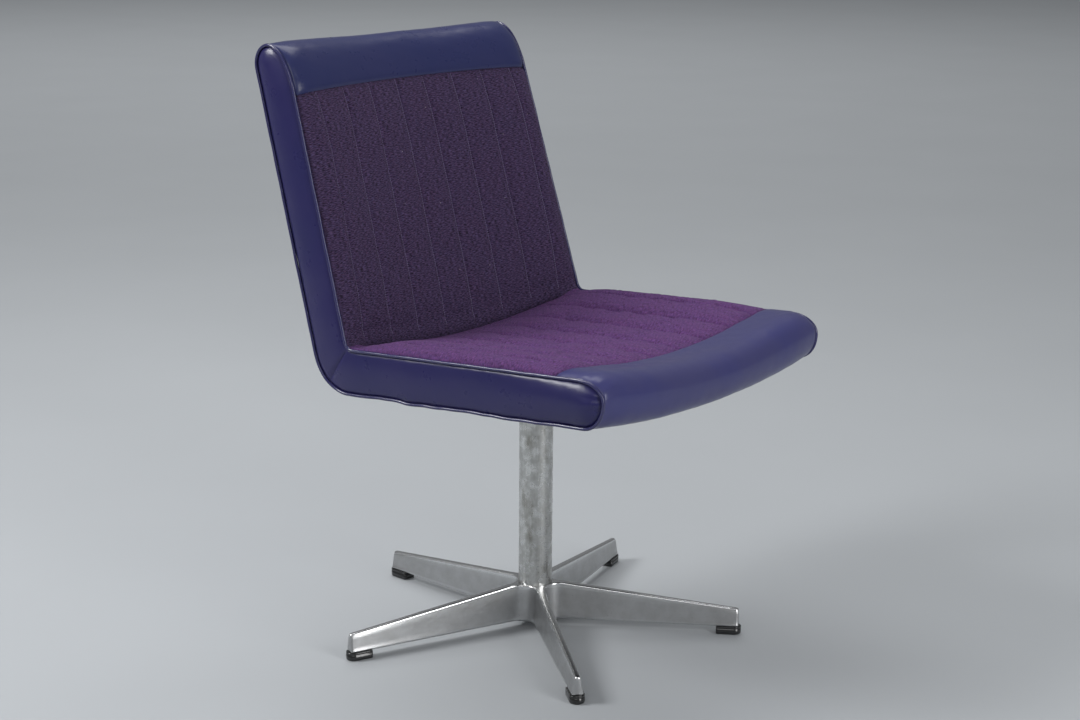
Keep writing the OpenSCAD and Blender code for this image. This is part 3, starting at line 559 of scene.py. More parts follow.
class Effects:
    """The node groups that several finishes share."""

    def __init__(self) -> None:
        """Builds every group once."""
        self.cloud = self.make_cloud()
        self.grain = self.make_grain()
        self.weave = self.make_weave()
        self.specks = self.make_specks()
        self.streaks = self.make_streaks()

    @staticmethod
    def make_cloud() -> bpy.types.NodeTree:
        """Soft patches of a second colour."""
        group = EffectGroup(
            "Cloudy colour",
            {"Vector": None, "Colour": (0.5, 0.5, 0.5, 1.0), "Second colour": (0.4, 0.4, 0.4, 1.0),
             "Scale": 10.0, "Amount": 0.5},
            ("Colour", "Mask"),
        )
        given = group.given
        noise = group.noise(given["Vector"], given["Scale"], 4.0, 0.6)
        mask = group.ramp(noise, (0.0, given["Amount"]), (0.32, 0.68),
                          interpolation_type="SMOOTHSTEP")
        return group.put(Colour=group.mix(mask, given["Colour"], given["Second colour"]), Mask=mask)

    @staticmethod
    def make_grain() -> bpy.types.NodeTree:
        """Fine pebbled grain over a coarser swell."""
        group = EffectGroup(
            "Pebbled grain",
            {"Vector": None, "Fine scale": 1500.0, "Coarse scale": 60.0, "Coarse share": 0.5},
            ("Height",),
        )
        given, share = group.given, group.given["Coarse share"]
        cells = group.cells(given["Fine scale"], feature="SMOOTH_F1")
        swell = group.noise(given["Vector"], given["Coarse scale"], 2.0, 0.5)
        fine = group.math("MULTIPLY", cells.outputs["Distance"], group.math("SUBTRACT", 1.0, share))
        return group.put(Height=group.math("ADD", fine, group.math("MULTIPLY", swell, share)))

    @staticmethod
    def make_weave() -> bpy.types.NodeTree:
        """Plain weave: threads that cross over and under, with uneven thickness."""
        inputs = {"Vector": None, "Threads": 800.0, "Unevenness": 0.5}
        group = EffectGroup("Plain weave", inputs, ("Height", "Fibre"))
        given = group.given
        parts = group.add("ShaderNodeSeparateXYZ", {0: given["Vector"]}).outputs
        turn = group.math("MULTIPLY", given["Threads"], math.pi)
        across, along = (
            group.math("SINE", group.math("MULTIPLY", parts[axis], turn)) for axis in ("X", "Y"))
        crossing = group.math("ABSOLUTE", group.math("MULTIPLY", across, along))
        fibre = group.noise(given["Vector"], given["Threads"], 3.0, 0.7)
        uneven = group.math("MULTIPLY", fibre, given["Unevenness"])
        return group.put(Height=group.math("ADD", crossing, uneven), Fibre=fibre)

    @staticmethod
    def make_specks() -> bpy.types.NodeTree:
        """Small scattered specks or pits."""
        inputs = {"Vector": None, "Scale": 200.0, "Size": 0.2, "Share": 0.3}
        group = EffectGroup("Scattered specks", inputs, ("Mask",))
        given = group.given
        cells = group.cells(given["Scale"])
        tint = group.add("ShaderNodeSeparateColor", {0: cells.outputs["Color"]}).outputs[0]
        chosen = group.math("LESS_THAN", tint, given["Share"])
        inside = group.ramp(cells.outputs["Distance"], start=(given["Size"], 0.0))
        return group.put(Mask=group.math("MULTIPLY", chosen, inside))

    @staticmethod
    def make_streaks() -> bpy.types.NodeTree:
        """Streaks stretched along one direction of the coordinates."""
        group = EffectGroup(
            "Streaks",
            {"Vector": None, "Scale along X": 50.0, "Scale along Y": 600.0, "Scale along Z": 50.0,
             "Low": 0.4, "High": 0.6},
            ("Mask",),
        )
        given = group.given
        scales = {number: given[f"Scale along {axis}"] for number, axis in enumerate("XYZ")}
        scale = group.add("ShaderNodeCombineXYZ", scales).outputs[0]
        factors = {0: given["Vector"], 1: scale}
        place = group.add("ShaderNodeVectorMath", factors, operation="MULTIPLY")
        noise = group.noise(place.outputs[0], 1.0, 3.0, 0.6)
        return group.put(Mask=group.ramp(noise, start=(given["Low"], given["High"])))


def rgba(colour: Colour, factor: float = 1.0) -> tuple[float, float, float, float]:
    """A colour times a factor, with full alpha."""
    return (*(min(1.0, factor * c) for c in colour), 1.0)


class Shader(Nodes):
    """One material with a Principled surface."""

    def __init__(self, name: str, follows: Coordinates, **surface: object) -> None:
        """Starts the material.

        Args:
            name: Name of the material.
            follows: The coordinates that its textures follow.
            surface: Values for the surface's sockets, by names with underscores.
        """
        self.material = bpy.data.materials.new(name)
        self.material.use_nodes = True
        super().__init__(self.material.node_tree)
        self.surface = self.tree.nodes["Principled BSDF"]
        self.vector = self.add("ShaderNodeTexCoord").outputs[follows.value]
        for socket, value in spaced(surface).items():
            self.surface.inputs[socket].default_value = value

    def feed(self, **sources: Socket) -> None:
        """Links sources to the surface's sockets, by names with underscores."""
        for socket, source in spaced(sources).items():
            self.tree.links.new(source, self.surface.inputs[socket])

    def effect(self, tree: bpy.types.NodeTree, **inputs: object) -> bpy.types.bpy_prop_collection:
        """Adds a shared effect.

        Args:
            tree: The effect's node group.
            inputs: Values for its inputs, by names with underscores.

        Returns:
            Its outputs.
        """
        inputs = {"Vector": self.vector, **spaced(inputs)}
        return self.add("ShaderNodeGroup", inputs, node_tree=tree).outputs

    def emboss(self, height: Socket, depth: float, strength: float) -> None:
        """Raises the surface's relief.

        Args:
            height: Height from 0 to 1.
            depth: What a height of 1 stands for.
            strength: How much of it shows.
        """
        inputs = {"Strength": strength, "Distance": depth, "Height": height}
        self.feed(Normal=self.add("ShaderNodeBump", inputs).outputs["Normal"])


class Finish:
    """A finish that makes its own material."""

    def build(self, effects: Effects) -> bpy.types.Material:
        """Makes the material.

        Args:
            effects: The shared node groups.

        Returns:
            The finished material.
        """
        raise NotImplementedError


@dataclass(frozen=True)
class VinylFinish(Finish):
    """Smooth satin vinyl with a fine grain and soft unevenness."""

    name: str
    colour: Colour
    second_colour: Colour
    roughness: float = 0.29
    coat: float = 0.1

    def build(self, effects: Effects) -> bpy.types.Material:
        """Makes the material."""
        shader = Shader(self.name, Coordinates.SOLID, Roughness=self.roughness,
                        Specular_IOR_Level=0.36, Coat_Weight=self.coat, Coat_Roughness=0.14)
        cloud = shader.effect(effects.cloud, Colour=rgba(self.colour),
                              Second_colour=rgba(self.second_colour), Scale=9.0, Amount=0.8)
        smears = shader.effect(effects.cloud, Scale=38.0, Amount=1.0)["Mask"]
        rough = shader.ramp(smears, (self.roughness - 0.02, self.roughness + 0.04))
        shader.feed(Base_Color=cloud["Colour"], Roughness=rough)
        grain = shader.effect(effects.grain, Fine_scale=1400.0, Coarse_scale=75.0, Coarse_share=0.5)
        shader.emboss(grain["Height"], 0.35 * MM, 0.5)
        return shader.material


@dataclass(frozen=True)
class WoolFinish(Finish):
    """Heathered woven wool: threads of several tints, streaked along the weft."""

    name: str
    colour: Colour
    cool_colour: Colour
    warm_colour: Colour
    lint_share: float
    heather: float
    sheen: float = 0.06
    threads: float = 760.0
    lint_colour: Colour = (0.55, 0.5, 0.5)

    def build(self, effects: Effects) -> bpy.types.Material:
        """Makes the material."""
        pale = tuple(0.5 + 0.5 * c for c in self.cool_colour)
        shader = Shader(self.name, Coordinates.SURFACE, Roughness=0.94, Specular_IOR_Level=0.18,
                        Sheen_Weight=self.sheen, Sheen_Roughness=0.45, Sheen_Tint=rgba(pale))

        def streaks(across: float, along: float, low: float, high: float) -> Socket:
            """Threads of another tint, long in the weft's direction."""
            return shader.effect(effects.streaks, Scale_along_X=across, Scale_along_Y=along,
                                 Scale_along_Z=1.0, Low=low, High=high)["Mask"]

        tint = shader.effect(effects.cloud, Colour=rgba(self.colour),
                             Second_colour=rgba(self.cool_colour), Scale=16.0, Amount=0.4)["Colour"]
        tint = shader.mix(streaks(130.0, 1000.0, 0.36, 0.66), tint, rgba(self.warm_colour))
        tint = shader.mix(streaks(190.0, 1100.0, 0.42, 0.66), tint, rgba(self.cool_colour))
        weave = shader.effect(effects.weave, Threads=self.threads, Unevenness=0.9)["Height"]
        # The colour is darker where the weave is low: painted shade between the threads, with the
        # threads' random unevenness mixed in.
        tint = shader.mix(1.0, tint, shader.ramp(weave, (0.55, 1.25), (0.2, 1.5)), blend="MULTIPLY")
        lint = shader.effect(effects.specks, Scale=170.0, Size=0.16, Share=self.lint_share)["Mask"]
        tint = shader.mix(lint, tint, rgba(self.lint_colour))
        tone = shader.ramp(streaks(170.0, 1050.0, 0.40, 0.61),
                           (1.0 - self.heather, 1.0 + 1.25 * self.heather))
        shader.feed(Base_Color=shader.mix(1.0, tint, tone, blend="MULTIPLY"))
        shader.emboss(weave, 0.35 * MM, 0.8)
        return shader.material


@dataclass(frozen=True)
class CastFinish(Finish):
    """Polished cast aluminium, glossier along its rounded edges, which also get a lighter colour: a
    painted highlight.
    """

    name: str
    colour: Colour
    dull_colour: Colour
    roughness: float = 0.36
    edge_roughness: float = 0.24
    pit_colour: Colour = (0.16, 0.15, 0.13)

    def build(self, effects: Effects) -> bpy.types.Material:
        """Makes the material."""
        shader = Shader(self.name, Coordinates.SOLID, Metallic=1.0)
        cloud = shader.effect(effects.cloud, Colour=rgba(self.colour),
                              Second_colour=rgba(self.dull_colour), Scale=55.0, Amount=0.8)
        # The edge mask lowers the roughness on the rounded edges and lightens their colour there,
        # which is a painted highlight.
        polish_and_highlight = shader.add("ShaderNodeAttribute", attribute_name="polish_and_highlight").outputs["Fac"]
        tint = shader.mix(polish_and_highlight, cloud["Colour"], rgba(self.colour, 1.4))
        pits = shader.effect(effects.specks, Scale=330.0, Size=0.22, Share=0.05)["Mask"]
        shader.feed(Base_Color=shader.mix(pits, tint, rgba(self.pit_colour)))
        brushed = shader.effect(effects.streaks, Scale_along_X=90.0, Scale_along_Y=90.0,
                                Scale_along_Z=500.0, Low=0.3, High=0.7)["Mask"]
        side = shader.ramp(brushed, (self.roughness - 0.06, self.roughness + 0.1))
        shader.feed(Roughness=shader.mix(polish_and_highlight, side, self.edge_roughness, MixKind.NUMBER))
        grain = shader.effect(effects.grain, Fine_scale=900.0, Coarse_scale=80.0, Coarse_share=0.8)
        shader.emboss(grain["Height"], 0.25 * MM, 0.5)
        return shader.material


@dataclass(frozen=True)
class PlatedFinish(Finish):
    """Old plating on a drawn tube: mottled, pitted and scratched along its length."""

    name: str
    colour: Colour
    dull_colour: Colour
    roughness: float = 0.27
    pit_share: float = 0.12
    smear_colour: Colour = (0.25, 0.24, 0.21)
    pit_colour: Colour = (0.12, 0.115, 0.10)

    def build(self, effects: Effects) -> bpy.types.Material:
        """Makes the material."""
        shader = Shader(self.name, Coordinates.SOLID, Metallic=1.0)

        def streaks(across: float, along: float, low: float, high: float, amount: float) -> Socket:
            """Streaks along the tube, with a share of their full strength."""
            mask = shader.effect(effects.streaks, Scale_along_X=across, Scale_along_Y=across,
                                 Scale_along_Z=along, Low=low, High=high)["Mask"]
            return shader.math("MULTIPLY", mask, amount)

        mottle = shader.effect(effects.cloud, Colour=rgba(self.colour),
                               Second_colour=rgba(self.dull_colour), Scale=85.0, Amount=0.8)
        smears = streaks(60.0, 22.0, 0.52, 0.72, 0.75)
        scratches = streaks(900.0, 14.0, 0.5, 0.75, 0.35)
        tint = shader.mix(smears, mottle["Colour"], rgba(self.smear_colour))
        tint = shader.mix(scratches, tint, rgba(self.dull_colour, 0.55))
        pits = shader.effect(effects.specks, Scale=260.0, Size=0.24, Share=self.pit_share)["Mask"]
        rough = shader.ramp(mottle["Mask"], (self.roughness - 0.05, self.roughness + 0.16))
        shader.feed(Base_Color=shader.mix(pits, tint, rgba(self.pit_colour)), Roughness=rough)
        grain = shader.effect(effects.grain, Fine_scale=700.0, Coarse_scale=120.0, Coarse_share=0.7)
        shader.emboss(grain["Height"], 0.07 * MM, 0.5)
        return shader.material


@dataclass(frozen=True)
class PlainFinish(Finish):
    """A hard plain surface with faint patches and a little relief."""

    name: str
    colour: Colour
    roughness: float
    metallic: float = 0.0
    coat: float = 0.0
    relief: float = 0.1 * MM

    def build(self, effects: Effects) -> bpy.types.Material:
        """Makes the material."""
        shader = Shader(self.name, Coordinates.SOLID, Metallic=self.metallic,
                        Coat_Weight=self.coat, Coat_Roughness=0.12)
        cloud = shader.effect(effects.cloud, Colour=rgba(self.colour),
                              Second_colour=rgba(self.colour, 0.72), Scale=90.0, Amount=0.5)
        rough = shader.ramp(cloud["Mask"], (self.roughness, min(1.0, self.roughness + 0.14)))
        shader.feed(Base_Color=cloud["Colour"], Roughness=rough)
        grain = shader.effect(effects.grain, Fine_scale=900.0, Coarse_scale=120.0, Coarse_share=0.4)
        shader.emboss(grain["Height"], self.relief, 0.5)
        return shader.material


@dataclass(frozen=True)
class LiningFinish(Finish):
    """Thin black woven lining."""

    name: str
    colour: Colour
    threads: float = 900.0

    def build(self, effects: Effects) -> bpy.types.Material:
        """Makes the material."""
        shader = Shader(self.name, Coordinates.SURFACE, Roughness=0.85, Specular_IOR_Level=0.25)
        weave = shader.effect(effects.weave, Threads=self.threads, Unevenness=0.4)
        tint = shader.mix(weave["Fibre"], rgba(self.colour), rgba(self.colour, 1.9))
        shader.feed(Base_Color=tint)
        shader.emboss(weave["Height"], 0.25 * MM, 0.7)
        return shader.material


class Finishes:
    """Every material of the chair, by the record's slot name."""

    def __init__(self) -> None:
        """Builds the materials."""
        effects = Effects()
        finishes: dict[str, Finish] = {
            "roll_vinyl": VinylFinish("Navy vinyl", (0.023, 0.029, 0.108), (0.028, 0.032, 0.110)),
            "band_vinyl": VinylFinish("Indigo vinyl", (0.020, 0.019, 0.094), (0.025, 0.021, 0.100)),
            "piping_vinyl": VinylFinish(
                "Piping vinyl", (0.026, 0.025, 0.100), (0.032, 0.030, 0.112), 0.2, 0.6),
            "seat_fabric": WoolFinish("Purple wool", (0.118, 0.045, 0.158), (0.084, 0.045, 0.164),
                                      (0.138, 0.050, 0.152), 0.02, 0.5),
            "back_fabric": WoolFinish("Dark purple wool", (0.061, 0.034, 0.089),
                                      (0.050, 0.041, 0.098), (0.072, 0.037, 0.080), 0.01, 0.76),
            "cast_metal": CastFinish("Cast aluminium", (0.50, 0.505, 0.51), (0.43, 0.43, 0.43)),
            "column_metal": PlatedFinish(
                "Column plating", (0.66, 0.665, 0.655), (0.44, 0.44, 0.425)),
            "glide_black": PlainFinish(
                "Black glide", (0.012, 0.012, 0.013), 0.16, coat=0.5, relief=0.04 * MM),
            "bearing_steel": PlainFinish("Bearing steel", (0.62, 0.62, 0.63), 0.2, metallic=1.0),
            "cage_brass": PlainFinish("Pressed brass", (0.66, 0.48, 0.2), 0.28, metallic=1.0),
            "zinc": PlainFinish("Zinc plating", (0.6, 0.61, 0.63), 0.3, metallic=1.0),
            "bush_plastic": PlainFinish("Moulded nylon", (0.72, 0.70, 0.60), 0.45),
            "plate_black": PlainFinish(
                "Black enamel", (0.016, 0.016, 0.018), 0.32, coat=0.2, relief=0.2 * MM),
            "spacer_rubber": PlainFinish("Rubber", (0.018, 0.018, 0.018), 0.75),
            "shell_ply": PlainFinish("Moulded plywood", (0.42, 0.28, 0.15), 0.6),
            "foam": PlainFinish("Foam", (0.72, 0.6, 0.33), 0.95, relief=0.5 * MM),
            "lining": LiningFinish("Black lining", (0.012, 0.012, 0.014)),
        }
        self.by_slot = {slot: finish.build(effects) for slot, finish in finishes.items()}
        thread = PlainFinish("Quilting thread", (0.215, 0.175, 0.32), 0.6, relief=0.05 * MM)
        # A lighter copy of the navy vinyl for the seat's front roll: painted light, standing in for
        # the light on the nose.
        painted_light_vinyl = VinylFinish("Navy vinyl painted lighter", (0.042, 0.043, 0.152), (0.052, 0.051, 0.142), 0.33)
        self.thread, self.painted_light_roll = thread.build(effects), painted_light_vinyl.build(effects)

    def dress(self, piece: bpy.types.Object, slot: str) -> None:
        """Gives a piece the material of a slot."""
        piece.data.materials.clear()
        piece.data.materials.append(self.by_slot[slot])


# The padded shell


@dataclass(frozen=True)
class ShellSizes:
    """Sizes that the seat and the back of the padded shell share."""

    width: float = 506 * MM
    pad: float = 62 * MM
    fold_height: float = 437.7 * MM
    fold_back: float = 126 * MM
    crown_reach: float = 40 * MM
    crown_fade: float = 90 * MM
    roll_share: float = 0.78
    piping_radius: float = 2.2 * MM
    gap: float = 0.2 * MM

    @property
    def half_width(self) -> float:
        """Distance of the piping's centre from the middle."""
        return self.width / 2.0

    @property
    def cover_edge(self) -> float:
        """Distance of a cover's edge from the middle."""
        return self.half_width - self.piping_radius - self.gap

    def dome(self, x: Array) -> Array:
        """1 in the middle and 0 at the piping."""
        return 1.0 - (x / self.half_width) ** 2

    def puff(self, x: Array) -> Array:
        """0 at a cover's edge and 1 past the crown's reach."""
        inside = np.clip((self.cover_edge - np.abs(x)) / self.crown_reach, 0.0, 1.0)
        return (1.0 - (1.0 - inside) ** 2) ** 0.6


@dataclass(frozen=True, kw_only=True)
class HalfForm(ShellSizes):
    """Outer form of the seat or of the back, with its dish and crown.

    Lengths run from the fold, along the seat or up the back. Depths run into
    the pad, from the line of the side piping. Pairs of sizes are for the
    sitter's side or the fold first, and for the far side or the end last.
    """

    word: str
    along: Pair
    inward: Pair
    length: float
    end_width: float
    sags: Pair
    crowns: Pair
    fold_share: float
    seam: float
    seam_bow: float = 0.0
    end_bow: float = 0.0
    end_swell: float
    end_depths: Pair
    tip_share: float

    def place(self, x: Array, length: Array, depth: Array) -> Array:
        """Points of this half in the chair's space.

        Args:
            x: Places across at the fold's width.
            length: Lengths from the fold.
            depth: Depths from the line of the side piping.

        Returns:
            The points, in the last axis.
        """
        x, length, depth = np.broadcast_arrays(x, length, depth)
        taper = (self.end_width / self.width - 1.0) * np.maximum(length, 0.0) / self.length
        y = self.fold_back + length * self.along[0] + depth * self.inward[0]
        z = self.fold_height + length * self.along[1] + depth * self.inward[1]
        return np.stack([x * (1.0 + taper), y, z], -1)

    def seam_at(self, x: Array) -> Array:
        """Length of the seam between the quilt and the roll."""
        return self.seam + self.seam_bow * self.dome(x)

    def crown_share(self, x: Array, length: Array) -> Array:
        """How full the crown is: less towards the fold, the roll and their corners.

        Args:
            x: Places across.
            length: Lengths from the fold.

        Returns:
            Shares of the full crown.
        """
        from_fold = np.clip(length / self.crown_fade, 0.0, 1.0)
        to_roll = np.clip((length - self.seam) / self.crown_fade + 1.0, 0.0, 1.0)
        share = self.fold_share + (1.0 - self.fold_share) * (1.0 - (1.0 - from_fold) ** 2)
        share = share * (1.0 - (1.0 - self.roll_share) * to_roll**2)
        outer = smooth_step(np.abs(x), 150 * MM, 240 * MM)
        fold_corner = 0.32 * np.exp(-((length / (60 * MM)) ** 2))
        return share * (1.0 - outer * (fold_corner + 0.22 * to_roll**2))

    def face(self, x: Array, length: Array | float) -> Array:
        """Depth of the face on the sitter's side."""
        length = np.asarray(length)
        first, last = self.crowns
        crown = first + (last - first) * np.clip(length / self.seam, 0.0, 1.0)
        return self.sags[0] * self.dome(x) - crown * self.crown_share(x, length) * self.puff(x)

    def far(self, x: Array) -> Array:
        """Depth of the face on the far side."""
        return self.pad + self.sags[1] * self.dome(x)

    def end(self, x: Array, turn: Array) -> Curve:
        """Length and depth round the nose of the seat or the top of the back.

        Args:
            x: Places across.
            turn: A quarter turn on the sitter's side, 0 at the tip, minus a quarter turn
                on the far side.

        Returns:
            Lengths and depths.
        """
        reach = self.length + self.end_swell * self.puff(x) + self.end_bow * self.dome(x)
        face, far = self.face(x, self.seam), self.far(x)
        middle = face + (far - face) * self.tip_share
        depth = np.where(turn >= 0.0, *self.end_depths)
        away = np.where(turn >= 0.0, middle - face, far - middle)
        return reach - depth + depth * np.cos(turn), middle - away * np.sin(turn)


SEAT_PITCH = math.radians(3.6)
BACK_RAKE = math.radians(17.0)
SEAT = HalfForm(
    word="seat", along=(-math.cos(SEAT_PITCH), math.sin(SEAT_PITCH)),
    inward=(-math.sin(SEAT_PITCH), -math.cos(SEAT_PITCH)),
    length=433.5 * MM, end_width=488 * MM, sags=(30 * MM, 17 * MM), crowns=(22 * MM, 22 * MM),
    fold_share=0.52, seam=356 * MM, end_bow=4 * MM, end_swell=4 * MM,
    end_depths=(40 * MM, 34 * MM), tip_share=0.4,
)
BACK = HalfForm(
    word="back", along=(math.sin(BACK_RAKE), math.cos(BACK_RAKE)),
    inward=(math.cos(BACK_RAKE), -math.sin(BACK_RAKE)),
    length=428 * MM, end_width=478 * MM, sags=(28 * MM, 12 * MM), crowns=(15 * MM, 23 * MM),
    fold_share=0.75, seam=350 * MM, seam_bow=9 * MM, end_swell=3 * MM,
    end_depths=(70 * MM, 26 * MM), tip_share=0.59,
)


@dataclass(frozen=True)
class PaddedForm(ShellSizes):
    """Outer form of the one-piece seat and back."""

    lean: float = BACK_RAKE - SEAT_PITCH
    corner_radius: float = 62 * MM
    fold_side_radius: float = 12 * MM

    @property
    def half_turn(self) -> float:
        """Half of the turn round the corner."""
        return (math.pi / 2.0 - self.lean) / 2.0

    def meet(self, own: Array, other: Array) -> Array:
        """Length at which faces of two depths meet."""
        return (own * math.sin(self.lean) - other) / math.cos(self.lean)

    def corner(self, own: Array, other: Array, radius: Array, turn: Array) -> Curve:
        """Length and depth on an arc between the seat and the back.

        Args:
            own: Depth of the face that the arc leaves.
            other: Depth of the other face.
            radius: Radius of the arc, over the faces for a fold and under them for a corner.
            turn: 0 on the own face, and half of the turn on the mitre.

        Returns:
            Lengths and depths in the own face's frame.
        """
        length = self.meet(own - radius, other - radius) - radius * np.sin(turn)
        return length, own - radius + radius * np.cos(turn)

    def side_path(self, side: Side, step: float = 2.5 * MM) -> Array:
        """The loop of the side piping, from under the nose over the seat to the top and back.

        Args:
            side: Which side of the chair.
            step: Distance between two points.

        Returns:
            Points of the closed loop.
        """
        x = self.half_width
        quarter = np.radians(np.linspace(0.0, 90.0, 19))
        bend = np.linspace(0.0, self.half_turn, 12)
        shares = np.linspace(0.0, 1.0, 60)[1:-1]
        turns = np.concatenate([-quarter[::-1], quarter[1:]])
        nose, crest = SEAT.end(x, turns), BACK.end(x, -turns)
        fold = self.corner(0.0, 0.0, self.fold_side_radius, bend)
        far = self.corner(self.pad, self.pad, self.corner_radius, bend)

        def between(first: float, last: float) -> Array:
            """Lengths along a straight side."""
            return first + (last - first) * shares

        under = between(far[0][0], nose[0][0])
        loop = np.concatenate([half.place(x, length, depth) for half, length, depth in (
            (SEAT, *nose),
            (SEAT, between(nose[0][-1], fold[0][0]), 0.0),
            (SEAT, *fold),
            (BACK, fold[0][-2::-1], fold[1][-2::-1]),
            (BACK, between(fold[0][0], crest[0][0]), 0.0),
            (BACK, *crest),
            (BACK, between(crest[0][-1], far[0][0]), self.pad),
            (BACK, *far),
            (SEAT, far[0][-2::-1], far[1][-2::-1]),
            (SEAT, under, self.pad + self.hem_wave(under, side)),
        )])
        loop = np.concatenate([loop, loop[:1]])
        run = run_along(loop)
        places = np.linspace(0.0, run[-1], int(run[-1] / step), endpoint=False)
        even = at_places(places, run, loop)
        for _ in range(3):
            even = (np.roll(even, 1, 0) + 2.0 * even + np.roll(even, -1, 0)) / 4.0
        even[:, 0] *= side.value
        return even

    def hem_wave(self, length: Array, side: Side) -> Array:
        """How far the hem under the seat hangs below its straight line.

        Args:
            length: Lengths from the fold.
            side: Which side of the chair.

        Returns:
            One depth for each length.
        """
        window = smooth_step(length, 20 * MM, 80 * MM) * smooth_step(-length, -410 * MM, -350 * MM)
        places = np.stack([length, np.full_like(length, 0.3 * side.value)], -1)
        coarse = Ripple(105 * MM, 41 + side.value).at(places)
        fine = Ripple(46 * MM, 47 + side.value).at(places)
        return window * (1.5 * MM * coarse + 0.6 * MM * fine)


@dataclass(frozen=True)
class QuiltPlan:
    """Where a quilted panel is sewn, and how deep."""

    seams: int = 8
    pitch: float = 60.5 * MM
    thickness: float = 5 * MM
    hem_tuck: float = 1.5 * MM
    hem_run: float = 10.5 * MM
    hem_dip: float = 4.8 * MM
    groove: float = 1.2 * MM
    groove_width: float = 1.5 * MM
    stitch_step: float = 3.4 * MM
    stitch_length: float = 2.6 * MM
    stitch_radius: float = 0.46 * MM

    @property
    def places(self) -> Array:
        """Places of the quilting seams across the panel."""
        return (np.arange(self.seams) - (self.seams - 1) / 2.0) * self.pitch

    def away(self, x: Array) -> Array:
        """Distance from the nearest seam."""
        return np.abs(x[..., None] - self.places).min(-1)

    def valley(self, x: Array, depth: float, power: float) -> Array:
        """Depth of the padding between the seams.

        Args:
            x: Places across the panel.
            depth: Depth on a seam.
            power: How steeply the valley's sides rise.

        Returns:
            Depths, positive into the pad.
        """
        away = self.away(x)
        share = np.clip(away / (self.pitch / 2.0), 0.0, 1.0)
        groove = self.groove * np.exp(-((away / self.groove_width) ** 2))
        return depth * (1.0 - share) ** power + groove

    def pucker(self, x: Array, along: Array, seed: int) -> Array:
        """Small gathers of the cloth beside each seam."""
        ripple = Ripple(11 * MM, seed).at(np.stack(np.broadcast_arrays(x * 0.25, along), -1))
        return 0.12 * MM * ripple * np.exp(-self.away(x) / (6 * MM))


@dataclass(frozen=True)
class CoverPlan:
    """Sizes of the covers that differ between the seat and the back.

    A crease starts and ends at distances from the roll's end and along it, and
    the creases at the sitter's left have only a share of their depth. The
    folds at a band's tip are given by rise, run and depth.
    """

    half: HalfForm
    facing: HalfForm
    fold_reach: float
    channel: float
    channel_power: float
    quilt_seeds: tuple[int, int, int]
    weave_start: float
    roll: str
    roll_steps: Triple
    roll_outward: Triple
    roll_creases: tuple[Crease, ...]
    left_share: float
    gathers: float
    roll_seed: int
    tail: float
    tail_rows: int
    lining: tuple[str, str, str]
    lining_outward: Triple
    lining_wave: float
    lining_seed: int
    lining_sunk: float
    lining_thickness: float
    bulge: float
    band_seed: int
    band_folds: tuple[Triple, ...] = ()


SEAT_COVERS = CoverPlan(
    half=SEAT, facing=BACK, fold_reach=15 * MM, channel=4.6 * MM, channel_power=2.8,
    quilt_seeds=(5, 11, 17), weave_start=0.0,
    roll="front_roll", roll_steps=(0.02, 1.3, 0.12), roll_outward=(0.0, -1.0, 0.2),
    roll_creases=(
        Crease((0.0, 0.052), (0.040, 0.036), 4.2 * MM, 0.5 * MM),
        Crease((0.0, 0.075), (0.034, 0.072), 4.6 * MM, 0.4 * MM),
        Crease((0.0, 0.150), (0.036, 0.164), 4.4 * MM, 0.6 * MM),
    ),
    left_share=1.0, gathers=0.15 * MM, roll_seed=61, tail=45 * MM, tail_rows=12,
    lining=("under_lining", "under_cover", "lining"), lining_outward=(0.0, 0.0, -1.0),
    lining_wave=70 * MM, lining_seed=83, lining_sunk=0.4 * MM, lining_thickness=1.0 * MM,
    bulge=8.0 * MM, band_seed=101,
    band_folds=((0.020, 0.030, 1.3 * MM), (0.004, 0.036, 1.0 * MM), (-0.014, 0.026, 0.9 * MM)),
)
BACK_COVERS = CoverPlan(
    half=BACK, facing=SEAT, fold_reach=27 * MM, channel=2.4 * MM, channel_power=3.0,
    quilt_seeds=(7, 13, 19), weave_start=1.0,
    roll="top_roll", roll_steps=(0.1, 1.3, 0.2), roll_outward=(0.0, -0.2, 1.0),
    roll_creases=(
        Crease((0.0, 0.020), (0.040, 0.050), 13 * MM, 0.7 * MM),
        Crease((0.0, 0.056), (0.026, 0.096), 11 * MM, 0.4 * MM),
    ),
    left_share=0.6, gathers=0.22 * MM, roll_seed=71, tail=30 * MM, tail_rows=9,
    lining=("rear_cover", "back_cover", "band_vinyl"), lining_outward=(0.0, 1.0, 0.0),
    lining_wave=95 * MM, lining_seed=89, lining_sunk=0.5 * MM, lining_thickness=1.2 * MM,
    bulge=3.5 * MM, band_seed=107,
)


